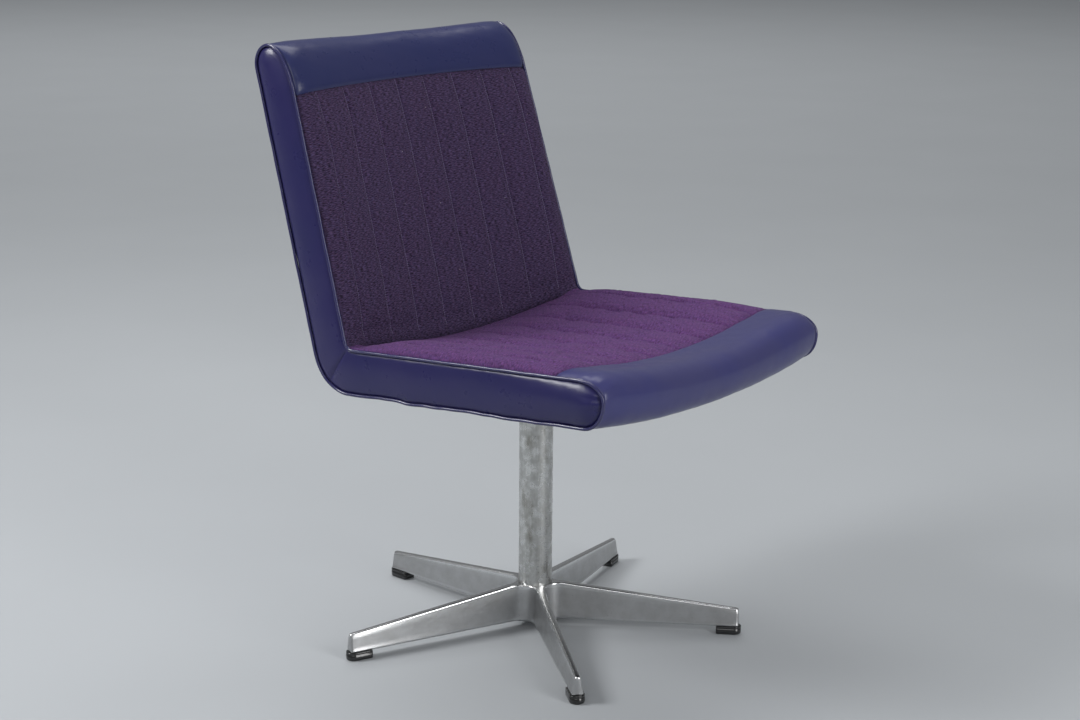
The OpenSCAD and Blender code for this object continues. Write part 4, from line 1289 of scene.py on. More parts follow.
@dataclass
class Upholstery:
    """Covers, quilting and piping of the padded shell."""

    finishes: Finishes
    form: PaddedForm = field(default_factory=PaddedForm)
    quilt: QuiltPlan = field(default_factory=QuiltPlan)
    vinyl: float = 1.6 * MM
    fold_depth: float = 9 * MM
    fold_rise: float = 1.2 * MM
    seam_run: float = 9 * MM
    seam_dip: float = 3.0 * MM
    band_crown: float = 3 * MM
    band_reach: float = 30 * MM
    band_groove: float = 2.2 * MM
    band_tuck: float = 0.8 * MM
    lining_tuck: float = 2 * MM
    shell_depth: float = 12.6 * MM
    foam_depth: float = 3.4 * MM
    cloth_ease: float = 0.02
    cloth_pressure: float = 4.0
    cloth_frames: int = 20
    swelling_cap: float = 9 * MM

    def build(self) -> None:
        """Makes every soft piece, and hides the plain solids that they stand for."""
        both = (SEAT_COVERS, BACK_COVERS)
        for plan in both:
            self.foam_pad(plan)
            self.quilted_panel(plan)
        for make in (self.roll, self.lining):
            for plan in both:
                make(plan)
        for side in Side:
            self.piping(side)
            for plan in both:
                self.band(side, plan)

    def finish(self, piece: bpy.types.Object, node: str, slot: str, fill: float = 0.85) -> None:
        """Args:
            piece: The piece.
            node: The solid that it stands for.
            slot: Its material slot.
            fill: How full its padding is; not used.
        """
        self.finishes.dress(piece, slot)
        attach(piece, Body.SEAT.value)
        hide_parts(node)
        LOG.info("%s stands for %s, with %d points", piece.name, node, len(piece.data.vertices))

    def quilt_columns(self) -> Array:
        """Places across a quilted panel, with one on each seam."""
        outer = spread([-self.form.cover_edge, self.quilt.places[0]], 0.4 * MM, 1.5, 4 * MM)
        inner = spread(list(self.quilt.places), 0.8 * MM, 1.5, 4.2 * MM)
        return np.concatenate([outer, inner[1:-1], -outer[::-1]])

    def fold_curve(
        self, x: Array, own: Array, other: Array, share: Array, reach: float
    ) -> list[Array]:
        """The edge of a panel as it rolls down into the fold.

        Args:
            x: Places across.
            own: Depth of the panel's face.
            other: Depth of the face that it meets.
            share: 0 where the roll starts and 1 at the bottom of the fold.
            reach: Distance of its start from the fold.

        Returns:
            Lengths and depths of the curve.
        """
        form, deep, straight_share = self.form, self.fold_depth, 0.25
        meet = form.meet(own, other)
        slope = math.tan(math.pi / 4.0 - form.lean / 2.0)
        inward = np.array([-slope, 1.0]) / math.hypot(slope, 1.0)
        start = (meet + reach, own)
        lift = (meet + 0.3 * reach, own - self.fold_rise)
        end = (meet + inward[0] * deep, own + inward[1] * deep)
        pull = (end[0] - inward[0] * 0.9 * deep, end[1] - inward[1] * 0.9 * deep)
        rest = 1 - share
        weights = [rest**3, 3 * share * rest**2, 3 * share**2 * rest, share**3]
        corners = (start, lift, pull, end)
        rolled = [sum(w * p[k] for w, p in zip(weights, corners)) for k in (0, 1)]
        turn = np.clip((share - straight_share) / (1.0 - straight_share), 0.0, 1.0) * form.half_turn
        fillet = form.corner(own, other, form.fold_side_radius, turn)
        fillet_start = form.corner(own, other, form.fold_side_radius, 0.0)[0]
        run_in = np.clip(share / straight_share, 0.0, 1.0)
        straight = (start[0] + (fillet_start - start[0]) * run_in, own + 0.0 * share)
        flat = [np.where(share < straight_share, *pair) for pair in zip(straight, fillet)]
        middle = smooth_step(form.cover_edge - np.abs(x), 10 * MM, 62 * MM)
        return [side + (roll - side) * middle for side, roll in zip(flat, rolled)]

    def foam_pad(self, plan: CoverPlan) -> None:
        """The foam under a quilted panel and its roll.

        Args:
            plan: The seat's or the back's covers.
        """
        form, half = self.form, plan.half
        edge = form.cover_edge - 4 * MM
        x = spread([-edge, edge], 1.5 * MM, 1.35, 12 * MM)[:, None]
        turns = np.radians(np.linspace(-90.0, 90.0, 25))
        bend = np.linspace(0.0, form.half_turn, 7)[None]
        length, depth = half.end(x, turns[None])
        fold = form.corner(half.face(x, 0.0), plan.facing.face(x, 0.0), form.fold_side_radius, bend)
        shares = np.linspace(0.0, 1.0, 40)[None, 1:-1]
        straight = length[:, -1:] + (fold[0][:, :1] - length[:, -1:]) * shares
        length = np.concatenate([length, straight, fold[0]], 1)
        depth = np.concatenate([depth, half.face(x, straight), fold[1]], 1)
        points = half.place(x, length, depth)
        normals = outward_normals(points, 40)
        seam = half.seam_at(x)
        under_quilt = 1.0 - smooth_step(length, seam - 12 * MM, seam + 10 * MM)
        cover = self.foam_depth + 6.8 * MM * under_quilt
        cover += 3.6 * MM * np.exp(-(((length - seam) / (15 * MM)) ** 2))
        cover += 4 * MM * np.exp(-((length / (24 * MM)) ** 2))
        cover[:, : turns.size // 2] = self.foam_depth
        far, rear = half.far(x) - self.shell_depth, plan.facing.far(x) - self.shell_depth
        corner = form.corner(far, rear, form.corner_radius - self.shell_depth, bend)
        above = length[:, : -bend.size]
        inner_length = np.minimum(above, length[:, turns.size - 1 : turns.size])
        inner_length = np.maximum(inner_length, corner[0][:, :1])
        inner_length = np.concatenate([inner_length, corner[0]], 1)
        inner_depth = np.concatenate([far + 0.0 * above, corner[1]], 1)
        inner = half.place(x, inner_length, inner_depth)
        flat = np.stack([points[..., 0], length], -1)
        outer = points - normals * cover[..., None]
        piece = closed_cover(f"{half.word}_foam_pad", outer, inner, flat)
        self.finish(piece, f"{half.word}_foam", "foam", fill=1.0)

    def swollen(self, points: Array, normals: Array, sewn: Array) -> Array:
        """Lets the cloth between the seams swell under the padding's pressure.

        Args:
            points: Grid of the unswollen face.
            normals: Outward normals of the grid.
            sewn: True for each grid point that a seam or hem holds.

        Returns:
            Height of each grid point over the unswollen face.
        """
        number = np.arange(sewn.size).reshape(sewn.shape)
        quads = grid_quads(number)
        if (grid_normals(points) * normals).sum() < 0.0:
            quads = quads[:, ::-1]
        mesh = bpy.data.meshes.new("swelling_cloth")
        mesh.from_pydata(points.reshape(-1, 3).tolist(), [], quads.tolist())
        piece = link_object("swelling_cloth", mesh)
        piece.vertex_groups.new(name="sewn").add(number[sewn].tolist(), 1.0, "REPLACE")
        cloth = piece.modifiers.new("Swelling", "CLOTH")
        settings = cloth.settings
        settings.vertex_group_mass = "sewn"
        settings.quality = 7
        settings.shrink_min = -self.cloth_ease
        settings.bending_stiffness = 0.2
        settings.use_pressure = True
        settings.uniform_pressure_force = self.cloth_pressure
        settings.effector_weights.gravity = 0.0
        cloth.point_cache.frame_end = self.cloth_frames
        scene = bpy.context.scene
        for frame_number in range(1, self.cloth_frames + 1):
            scene.frame_set(frame_number)
        shown = piece.evaluated_get(bpy.context.evaluated_depsgraph_get())
        places = np.empty(points.size)
        shown.data.vertices.foreach_get("co", places)
        bpy.data.objects.remove(piece)
        bpy.data.meshes.remove(mesh)
        scene.frame_set(1)
        height = ((places.reshape(points.shape) - points) * normals).sum(-1)
        LOG.info("the cloth swells by %.1f mm at most", height.max() / MM)
        return np.clip(height, 0.0, self.swelling_cap)

    def panel_start(self, plan: CoverPlan, x: Array) -> Array:
        """Length at which a panel starts to roll into the fold."""
        own, other = plan.half.face(x, 0.0), plan.facing.face(x, 0.0)
        return self.form.meet(own, other) + plan.fold_reach

    def padding(self, plan: CoverPlan, columns: Array, shares: Array) -> Array:
        """Share of the full padding at places between the quilting seams.

        Args:
            plan: The seat's or the back's covers.
            columns: Places across the panel.
            shares: Places along it, from 0 at its front or top seam to 1 at the fold.

        Returns:
            1 where the padding is full and 0 on a seam.
        """
        seams = self.quilt.places
        between = [np.linspace(a, b, 13)[:-1] for a, b in zip(seams, seams[1:])]
        outer = np.linspace(seams[-1], self.form.cover_edge, 10)
        across = np.concatenate([-outer[:0:-1], *between, outer])
        x = across[:, None]
        seam = plan.half.seam_at(x)
        along = np.linspace(0.0, 1.0, 72)
        length = seam + (self.panel_start(plan, x) - seam) * along[None]
        points = plan.half.place(x, length, plan.half.face(x, length))
        sewn = np.zeros(points.shape[:2], bool)
        sewn[np.abs(x - seams[None]).min(1) < 1e-6] = True
        sewn[[0, -1]] = sewn[:, [0, -1]] = True
        height = self.swollen(points, outward_normals(points, 10), sewn)
        full = 1.25 * np.median(height[~sewn])
        height = np.clip(height / full, 0.0, 1.2)
        rows = np.stack([smooth_samples(shares, along, column) for column in height])
        return np.stack([smooth_samples(columns, across, row) for row in rows.T], 1)

    def quilt_height(
        self, plan: CoverPlan, columns: Array, shares: Array, bend: Array,
        length: Array, run: Array,
    ) -> Array:
        """Height of a quilted panel over its smooth face.

        Args:
            plan: The seat's or the back's covers.
            columns: Places across the panel.
            shares: Places along it, from 0 at its front or top seam to 1 at the fold.
            bend: Places round the fold, up to 1.
            length: Length of each grid point.
            run: Length along the panel at each grid point.

        Returns:
            One height for each grid point.
        """
        quilt = self.quilt
        x = np.broadcast_to(columns[:, None], length.shape)
        flat = np.stack([x, run], -1)
        edge = self.form.cover_edge - np.abs(x)
        fade = np.concatenate([np.ones_like(shares), 1.0 - 0.75 * bend])
        full = self.padding(plan, columns, shares)
        full = np.concatenate([full, np.repeat(full[:, -2:-1], bend.size, 1)], 1)
        valley = 0.7 * plan.channel * (1.0 - full)
        valley = valley + quilt.valley(x, 0.5 * plan.channel, 2.4 * plan.channel_power)
        if plan.half is SEAT:
            fade = fade * (0.45 + 0.55 * smooth_step(length, 10 * MM, 130 * MM))
        valley = valley * smooth_step(run, -3 * MM, 7 * MM)
        gathers, broad, fine = plan.quilt_seeds
        height = -valley * fade * smooth_step(edge, 4 * MM, 20 * MM)
        height += quilt.pucker(x, run, gathers) * fade
        uneven = 0.25 * MM * Ripple(64 * MM, broad).at(flat) * fade
        height += uneven * smooth_step(edge, 2 * MM, 25 * MM)
        height += 0.12 * MM * Ripple(19 * MM, fine).at(flat) * smooth_step(edge, 1 * MM, 12 * MM)
        height -= quilt.hem_dip * np.clip(1.0 - run / quilt.hem_run, 0.0, 1.0) ** 2
        return height * np.concatenate([np.ones_like(shares), 1.0 - bend**3])

    def quilted_panel(self, plan: CoverPlan) -> None:
        """One quilted panel, with its sewn channels, gathers and stitches.

        Args:
            plan: The seat's or the back's covers.
        """
        half, quilt = plan.half, self.quilt
        columns = self.quilt_columns()
        x = columns[:, None]
        own, other = half.face(x, 0.0), plan.facing.face(x, 0.0)
        seam = half.seam_at(x) + quilt.hem_tuck
        shares = spread([0.0, 1.0], 0.003, 1.35, 0.014)
        straight = seam + (self.panel_start(plan, x) - seam) * shares
        bend = np.linspace(0.0, 1.0, 17)[1:]
        rolled, sunk = self.fold_curve(x, own, other, bend[None], plan.fold_reach)
        length = np.concatenate([straight, rolled], 1)
        depth = np.concatenate([half.face(x, straight), sunk], 1)
        points = half.place(x, length, depth)
        normals = outward_normals(points, 10)
        run = run_along(points)
        height = self.quilt_height(plan, columns, shares, bend, length, run)
        points = points + normals * height[..., None]
        flat = np.stack(np.broadcast_arrays(x, run), -1)
        edge = self.form.cover_edge - np.abs(x)
        wander = 0.4 * MM * Ripple(150 * MM, 23).at(flat)
        points[..., 0] += wander * smooth_step(edge, 5 * MM, 30 * MM)
        inner = points - normals * quilt.thickness
        steps = np.diff(points, axis=0, prepend=points[:1])
        across = np.cumsum(np.linalg.norm(steps, axis=-1), 0)
        flat = np.stack([across - across[len(x) // 2] + 0.5, run + plan.weave_start], -1)
        piece = closed_cover(f"{half.word}_quilt", points, inner, flat)
        self.finish(piece, f"{half.word}_panel", f"{half.word}_fabric")
        shown = grid_normals(points)
        self.stitches(half.word, columns, points, shown * np.sign((normals * shown).sum()))

    def stitches(self, word: str, columns: Array, points: Array, normals: Array) -> None:
        """The quilting thread along each seam of a panel.

        Args:
            word: Either seat or back.
            columns: Places of the grid's columns.
            points: Grid of the panel's face.
            normals: Outward normals of the grid.
        """
        quilt = self.quilt
        rings = ((-0.5, 0.25), (-0.32, 1.0), (0.0, 1.1), (0.32, 1.0), (0.5, 0.25))
        turns = np.arange(5) / 5.0 * 2.0 * math.pi
        reach = quilt.stitch_length / 2.0
        stitches = []
        for seam in quilt.places:
            column = int(np.abs(columns - seam).argmin())
            line, out = points[column, 1:-9], normals[column, 1:-9]
            run = run_along(line)
            step = quilt.stitch_step
            for place in np.arange(step, run[-1] - step, step):
                first, last = (at_places(place + end, run, line) for end in (-reach, reach))
                ahead = (last - first) / np.linalg.norm(last - first)
                up = at_places(place, run, out)
                beside = np.cross(up, ahead)
                centre = at_places(place, run, line) + up * 0.12 * MM
                stitches.append([
                    centre + ahead * quilt.stitch_length * share
                    + size * quilt.stitch_radius * (math.cos(turn) * beside + math.sin(turn) * up)
                    for share, size in rings for turn in turns
                ])
        faces = ring_faces(len(rings), len(turns), caps=True)
        count = len(rings) * len(turns)
        all_faces = [
            tuple(stitch * count + k for k in face)
            for stitch in range(len(stitches)) for face in faces
        ]
        mesh = bpy.data.meshes.new(f"{word}_stitches")
        mesh.from_pydata(np.array(stitches).reshape(-1, 3).tolist(), [], all_faces)
        mesh.polygons.foreach_set("use_smooth", [True] * len(mesh.polygons))
        piece = link_object(f"{word}_stitches", mesh)
        piece.data.materials.append(self.finishes.thread)
        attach(piece, Body.SEAT.value)
        LOG.info("%s: %d stitches", piece.name, len(stitches))

    def sheet(
        self, names: tuple[str, str, str], points: Array, height: Array,
        outward: Triple, thickness: float,
    ) -> bpy.types.Object:
        """A vinyl or lining cover from its smooth grid and the height of its unevenness.

        Args:
            names: Name of the piece, the solid that it stands for, and its material slot.
            points: Smooth grid of its outer face.
            height: Height of the unevenness at each grid point.
            outward: A direction that the middle of the outer face looks to.
            thickness: Thickness of the cover.

        Returns:
            The new piece.
        """
        name, node, slot = names
        normals = outward_normals(points, points.shape[1] // 2, outward)
        outer = points + normals * height[..., None]
        flat = np.stack([points[..., 0] + 0.5, run_along(points)], -1)
        piece = closed_cover(name, outer, outer - normals * thickness, flat)
        self.finish(piece, node, slot)
        return piece

    def end_gathers(self, x: Array, along: Array, size: float, seed: int) -> Array:
        """Short folds where a roll's vinyl is gathered at the piping, and its broad unevenness.

        Args:
            x: Places across.
            along: Lengths along the roll.
            size: Height of the folds.
            seed: Seed of the folds; the next two are the unevenness's.

        Returns:
            One height for each place.
        """
        edge = self.form.cover_edge - np.abs(x)
        gathers = size * Ripple(17 * MM, seed).at(np.stack([x * 0.35, along], -1))
        gathers = gathers * np.exp(-edge / (11 * MM))
        broad = 0.3 * MM * Ripple(85 * MM, seed + 1).at(np.stack([x, along * 1.4], -1))
        fine = 0.14 * MM * Ripple(24 * MM, seed + 2).at(np.stack([x, along], -1))
        inside = smooth_step(edge, 0.5 * MM, 9 * MM)
        return gathers * smooth_step(edge, 0.2 * MM, 2 * MM) + (broad + fine) * inside

    def roll(self, plan: CoverPlan) -> None:
        """The vinyl roll from a quilt's seam round the nose or over the top.

        Args:
            plan: The seat's or the back's covers.
        """
        half, edge = plan.half, self.form.cover_edge
        x = spread([-edge, edge], 0.35 * MM, 1.32, 7 * MM)[:, None]
        length, depth = half.end(x, np.radians(np.linspace(90.0, -90.0, 61))[None])
        seam = half.seam_at(x) + half.gap / 2.0
        shares = spread([0.0, 1.0], *plan.roll_steps)[None, :-1]
        start = seam + (length[:, :1] - seam) * shares
        tail = np.linspace(0.0, 1.0, plan.tail_rows)[None, 1:]
        length = np.concatenate([start, length, length[:, -1:] - plan.tail * tail], 1)
        flush = half.face(x, half.seam) + 0.0 * shares
        depth = np.concatenate([flush, depth, half.far(x) + 0.0 * tail], 1)
        x_all = np.broadcast_to(x, length.shape)
        points = half.place(x_all, length, depth)
        along = run_along(points)
        height = self.end_gathers(x_all, along, plan.gathers, plan.roll_seed)
        height -= self.seam_dip * np.clip(1.0 - along / self.seam_run, 0.0, 1.0) ** 2
        for side in Side:
            share = 1.0 if side is Side.RIGHT else plan.left_share
            for crease in plan.roll_creases:
                height += share * crease.height(edge - side.value * x_all, along)
        names = (f"{plan.roll}_cover", plan.roll, "roll_vinyl")
        piece = self.sheet(names, points, height, plan.roll_outward, self.vinyl)
        # The seat's front roll takes the lighter copy of the vinyl, which is painted light.
        if half is SEAT:
            piece.data.materials[0] = self.finishes.painted_light_roll

    def lining(self, plan: CoverPlan) -> None:
        """The lining under the seat, or the cover behind the back.

        Args:
            plan: The seat's or the back's covers.
        """
        form, half = self.form, plan.half
        x = spread([-form.cover_edge, form.cover_edge], 2 * MM, 1.3, 9 * MM)[:, None]
        bend = np.linspace(0.0, form.half_turn, 9)[None]
        far_end = half.end(x, np.array([[-math.pi / 2.0]]))[0]
        reach = far_end - plan.tail + self.lining_tuck
        corner = form.corner(half.far(x), plan.facing.far(x), form.corner_radius, bend)
        shares = np.linspace(0.0, 1.0, 50)[None, :-1]
        length = np.concatenate([reach + (corner[0][:, :1] - reach) * shares, corner[0]], 1)
        depth = np.concatenate([half.far(x) + 0.0 * shares, corner[1]], 1)
        x_all = np.broadcast_to(x, length.shape)
        points = half.place(x_all, length, depth)
        flat = np.stack([x_all, run_along(points)], -1)
        edge = smooth_step(form.cover_edge - np.abs(x_all), 0.0, 30 * MM)
        height = 0.7 * MM * Ripple(plan.lining_wave, plan.lining_seed).at(flat) * edge
        self.sheet(plan.lining, points, height - plan.lining_sunk, plan.lining_outward,
                   plan.lining_thickness)

    def piping(self, side: Side) -> None:
        """The loop of piping round one side."""
        path = self.form.side_path(side)
        uneven = np.stack([Ripple(34 * MM, seed).at(path) for seed in (91, 92, 93)], -1)
        name = f"piping_cord_{side.word}"
        piece = swept_tube(name, path + 0.18 * MM * uneven, self.form.piping_radius)
        self.finish(piece, f"piping_{side.word}", "piping_vinyl", fill=1.0)

    def band_surface(self, side: Side, flat_points: Array, mitre: Array, plan: CoverPlan) -> Array:
        """Swells a flat grid in the side plane to the band's pillowed form.

        Args:
            side: Which side of the chair.
            flat_points: Grid in the plane of the piping.
            mitre: Distance of each grid point from the mitre seam.
            plan: The seat's or the back's covers.

        Returns:
            The grid with its X moved outwards.
        """
        radius = self.form.piping_radius
        loop = self.form.side_path(side, 4 * MM)[:, 1:]
        flat = flat_points[..., 1:]
        gaps = ((flat.reshape(-1, 1, 2) - loop[None]) ** 2).sum(-1)
        away = np.sqrt(gaps).min(1).reshape(flat.shape[:2])
        inner = np.clip((away - radius) / self.band_reach, 0.0, 1.0)
        rise = 1.0 - (1.0 - inner) ** 2
        clear = np.maximum(away - radius, 0.0)
        height = self.band_crown * rise - self.band_groove * np.exp(-clear / (1.8 * MM))
        tip = flat_points[-1, flat_points.shape[1] // 3]
        from_tip = np.linalg.norm(flat_points - tip, axis=-1)
        swell = 1.0 - (1.0 - np.clip(clear / (28 * MM), 0.0, 1.0)) ** 2
        height += plan.bulge * np.exp(-((from_tip / (105 * MM)) ** 2)) * swell
        gathers = 0.35 * MM * Ripple(19 * MM, plan.band_seed).at(flat) * np.exp(-away / (9 * MM))
        height += gathers * smooth_step(inner, 0.0, 0.2)
        height += 0.5 * MM * Ripple(75 * MM, plan.band_seed + 1).at(flat) * rise
        sewn = 1.8 * MM * np.exp(-mitre / (2.2 * MM)) + 0.9 * MM * np.exp(-mitre / (12 * MM))
        height -= sewn * smooth_step(clear, 0.0, 9 * MM)
        _, y, z = tip
        for rise_to, run, depth in plan.band_folds:
            crease = Crease((y, z + 0.6 * rise_to), (y + run, z + rise_to), 2.6 * MM, depth)
            height += crease.height(flat[..., 0], flat[..., 1])
        result = flat_points.copy()
        result[..., 0] = side.value * (flat_points[..., 0] + height)
        return result

    def band_outline(self, side: Side, plan: CoverPlan, sign: float) -> Array:
        """One long edge of a side band, from the mitre to the tip.

        Args:
            side: Which side of the chair.
            plan: The seat's or the back's covers.
            sign: 1 for the edge at the sitter's side and -1 for the far one.

        Returns:
            Points in the plane of the piping.
        """
        form, half, inset = self.form, plan.half, self.band_tuck
        near = sign > 0.0
        level = inset if near else form.pad - inset
        radius = form.fold_side_radius + inset if near else form.corner_radius - inset
        bend = np.linspace(form.half_turn, 0.0, 9)
        turns = np.radians(np.concatenate([np.linspace(90.0, 8.0, 24), [5.0, 3.0, 1.5]]))
        start = form.corner(level, level, radius, bend)
        end = half.end(form.half_width, sign * turns)
        run = start[0][-1] + (end[0][0] - start[0][-1]) * np.linspace(0.0, 1.0, 80)[1:-1]
        wave = form.hem_wave(run, side) if half is SEAT and not near else 0.0 * run
        parts = (start, (run, level + wave), self.shrink(end, inset, sign))
        return half.place(form.half_width, *(np.concatenate(values) for values in zip(*parts)))

    def band(self, side: Side, plan: CoverPlan) -> None:
        """The vinyl band along one side of the seat or the back.

        Args:
            side: Which side of the chair.
            plan: The seat's or the back's covers.
        """
        upper, lower = (self.band_outline(side, plan, sign) for sign in (1.0, -1.0))
        shares = (1.0 - np.cos(np.linspace(0.0, math.pi, 27))) / 2.0
        flat_points = upper[:, None] + (lower - upper)[:, None] * shares[None, :, None]
        direction = lower[0] - upper[0]
        direction = direction / np.linalg.norm(direction)
        offset = flat_points - upper[0]
        mitre = np.abs(offset[..., 1] * direction[2] - offset[..., 2] * direction[1])
        outer = self.band_surface(side, flat_points, mitre, plan)
        inner = outer.copy()
        reach = flat_points[..., 0] - self.form.piping_radius + 0.1 * MM
        inner[..., 0] = side.value * np.minimum(reach, np.abs(outer[..., 0]) - 0.3 * MM)
        name = f"{plan.half.word}_band_cover_{side.word}"
        piece = closed_cover(name, outer, inner, flat_points[..., 1:])
        self.finish(piece, f"{plan.half.word}_band_{side.word}", "band_vinyl")

    @staticmethod
    def shrink(outline: Curve, inset: float, sign: float) -> Curve:
        """Moves a rounded outline inwards by the inset.

        Args:
            outline: Lengths and depths, from the straight side to the tip.
            inset: Distance to move.
            sign: 1 for the sitter's side and -1 for the far side.

        Returns:
            The moved lengths and depths.
        """
        length, depth = outline
        tangent = np.stack([np.gradient(length), np.gradient(depth)])
        tangent /= np.linalg.norm(tangent, axis=0)
        return length - sign * tangent[1] * inset, depth + sign * tangent[0] * inset


# The base


@dataclass(frozen=True)
class ArmPlan:
    """Sizes of the cast base."""

    arms: int = 5
    first_arm: float = math.radians(86.8)
    foot_reach: float = 300 * MM
    arm_end: float = 296.2 * MM
    floor: float = 12 * MM
    tip_height: float = 38 * MM
    hub_height: float = 66 * MM
    tip_half: float = 4.25 * MM
    root_half: float = 5.75 * MM
    foot_half: float = 8.5 * MM
    web_radius: float = 24 * MM
    wall: float = 3.8 * MM
    edge_radius: float = 2.8 * MM
    web_edge_radius: float = 1.9 * MM
    tip_corner: float = 3.6 * MM
    column_radius: float = 24.15 * MM
    hub_floor: float = 22 * MM
    bolt_hole: float = 5.2 * MM
    glide_half: float = 10.75 * MM
    glide_length: float = 36 * MM
    glide_corner: float = 2.2 * MM
    stations: int = 30
    tip_points: int = 9
    web_points: int = 16

    @property
    def half_angle(self) -> float:
        """Half of the angle between two arms."""
        return math.pi / self.arms

    @property
    def web_centre(self) -> float:
        """Distance of a web's centre from the axis."""
        return (self.root_half + self.web_radius) / math.sin(self.half_angle)

    @property
    def root(self) -> float:
        """Where an arm's straight side starts."""
        return self.web_centre * math.cos(self.half_angle)

    def tapered(self, reach: Array, first: float, last: float) -> Array:
        """A size that changes evenly along an arm."""
        share = np.clip((reach - self.root) / (self.arm_end - self.root), 0.0, 1.0)
        return first + (last - first) * share

    def top(self, reach: Array) -> Array:
        """Height of an arm's top."""
        return self.tapered(reach, self.hub_height, self.tip_height)

    def arm_angle(self, number: int) -> float:
        """Direction of an arm, seen from above."""
        return self.first_arm + 2.0 * self.half_angle * number


def turned(points: Array, angle: float, height: Array | float) -> Array:
    """Plan points turned about the axis and lifted."""
    c, s = math.cos(angle), math.sin(angle)
    x, y = c * points[:, 0] - s * points[:, 1], s * points[:, 0] + c * points[:, 1]
    return np.stack(np.broadcast_arrays(x, y, height), -1)


@dataclass
class StarBase:
    """The cast base and its glides."""

    finishes: Finishes
    plan: ArmPlan = field(default_factory=ArmPlan)

    def build(self) -> None:
        """Makes the casting and the glides."""
        self.casting()
        for number in range(self.plan.arms):
            self.glide(number)

    def outline(self, share: float, insets: Pair) -> Curve:
        """One arm's part of the outline at one level.

        Args:
            share: 0 at the foot of the drafted side and 1 at its top.
            insets: How far the outline is moved in, along the arms and in the webs.

        Returns:
            Plan points in the first arm's frame, from its right root round the tip to its left root
            and along the web, and the reach of each point.
        """
        plan = self.plan
        arm_inset, web_inset = insets
        end = plan.arm_end - arm_inset - 0.3 * MM * share
        corner = max(plan.tip_corner - arm_inset, 0.3 * MM)
        shares = np.linspace(0.0, 1.0, plan.stations) ** 1.15
        reach = plan.root + (end - corner - plan.root) * shares
        blend = smooth_step(reach, plan.root, plan.root + 14 * MM)
        moved = web_inset + (arm_inset - web_inset) * blend
        top_half = plan.tapered(reach, plan.root_half, plan.tip_half)
        half = plan.foot_half + (top_half - plan.foot_half) * share - moved
        right = np.stack([reach, -half], -1)
        tip_half = half[-1]
        corner = min(corner, tip_half * 0.95)
        turns = np.linspace(-math.pi / 2.0, math.pi / 2.0, plan.tip_points + 2)[1:-1]
        side = np.sign(np.sin(turns))
        tip = np.stack([
            end - corner + corner * np.cos(turns),
            side * (tip_half - corner) + corner * np.sin(turns)], -1)
        tip[np.abs(turns) < 1e-6] = [end, 0.0]
        left = right[::-1] * [1.0, -1.0]
        radius = plan.web_radius - (plan.foot_half - plan.root_half) * (1.0 - share) + web_inset
        sweep = math.pi / 2.0 - plan.half_angle
        angles = np.linspace(-sweep, sweep, plan.web_points + 1)[1:-1]
        centre = plan.web_centre * np.array([math.cos(plan.half_angle), math.sin(plan.half_angle)])
        facing = plan.half_angle + math.pi - angles
        web = centre + radius * np.stack([np.cos(facing), np.sin(facing)], -1)
        reaches = [reach, np.full(len(tip), end), reach[::-1], np.full(len(web), plan.root)]
        return np.concatenate([right, tip, left, web]), np.concatenate(reaches)

    def ring(self, share: float, insets: Pair, height: Callable[[Array], Array]) -> Array:
        """The whole outline at one level.

        Args:
            share: Share of the drafted side's height.
            insets: How far the outline is moved in, along the arms and in the webs.
            height: Gives the height for the reach of each point.

        Returns:
            Points of the closed ring.
        """
        points, reach = self.outline(share, insets)
        angles = [self.plan.arm_angle(arm) for arm in range(self.plan.arms)]
        return np.concatenate([turned(points, angle, height(reach)) for angle in angles])

    def casting(self) -> None:
        """The five-armed casting, rounded along its edges and hollow underneath."""
        plan = self.plan
        levels: list[Array] = []
        polish_and_highlight: list[float] = []

        def add(share: float, insets: Pair, shine: float, height: Callable[[Array], Array]) -> None:
            """Adds one level, and its share of the edge mask: glossier, with a painted highlight.
            """
            levels.append(self.ring(share, insets, height))
            polish_and_highlight.append(shine)

        lip = plan.wall + 0.9 * MM
        add(0.0, (lip, lip), 0.0, lambda r: np.minimum(self.ceiling(r), plan.floor + 9 * MM))
        add(0.0, (plan.wall, plan.wall), 0.0, lambda r: plan.floor + 0.0 * r)
        # The rounding at the foot and at the top carry the edge mask: glossier, and painted lighter
        # as a highlight.
        for inset, lift in ((1.6, 0.0), (0.9, 0.2), (0.35, 0.75), (0.05, 1.6), (0.0, 2.4)):
            add(0.0, (inset * MM, inset * MM), 0.5, lambda r: plan.floor + lift * MM + 0.0 * r)
        for share in (0.12, 0.3, 0.5, 0.7, 0.86):
            add(share, (0.0, 0.0), 0.25 if share > 0.8 else 0.0,
                lambda r: plan.floor + (plan.top(r) - plan.floor) * share)
        for turn in np.radians(np.linspace(0.0, 90.0, 9)):
            rounded = 1.0 - math.cos(turn)
            insets = (plan.edge_radius * rounded, plan.web_edge_radius * rounded)
            add(1.0, insets, 1.0, lambda r: plan.top(r) - plan.edge_radius * (1.0 - math.sin(turn)))
        count = len(levels[0])
        points = [tuple(p) for level in levels for p in level]
        shine = [value for value in polish_and_highlight for _ in range(count)]
        faces = ring_faces(len(levels), count)
        self.close_ring(points, shine, faces, (len(levels) - 1) * count,
                        plan.column_radius + 0.1 * MM, plan.hub_height - 0.5 * MM, 1.0)
        self.close_ring(points, shine, faces, 0, plan.bolt_hole, plan.hub_floor, 0.0)
        piece = finish_mesh("star_casting", np.array(points), faces,
                            masks={"polish_and_highlight": np.array(shine)}, crease_angle=math.radians(50.0))
        self.finishes.dress(piece, "cast_metal")
        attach(piece, Body.BASE.value)
        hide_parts("base_casting")
        LOG.info("%s has %d points", piece.name, len(piece.data.vertices))

    def ceiling(self, reach: Array) -> Array:
        """Height of the hollow under an arm."""
        plan = self.plan
        rise = smooth_step(reach, plan.root - 1 * MM, plan.root + 14 * MM)
        high = plan.top(reach) - plan.wall
        fall = smooth_step(reach, plan.arm_end - 46 * MM, plan.arm_end - 38 * MM)
        hollow = plan.hub_floor + (high - plan.hub_floor) * rise
        return hollow + (plan.floor + 0.4 * MM - hollow) * fall

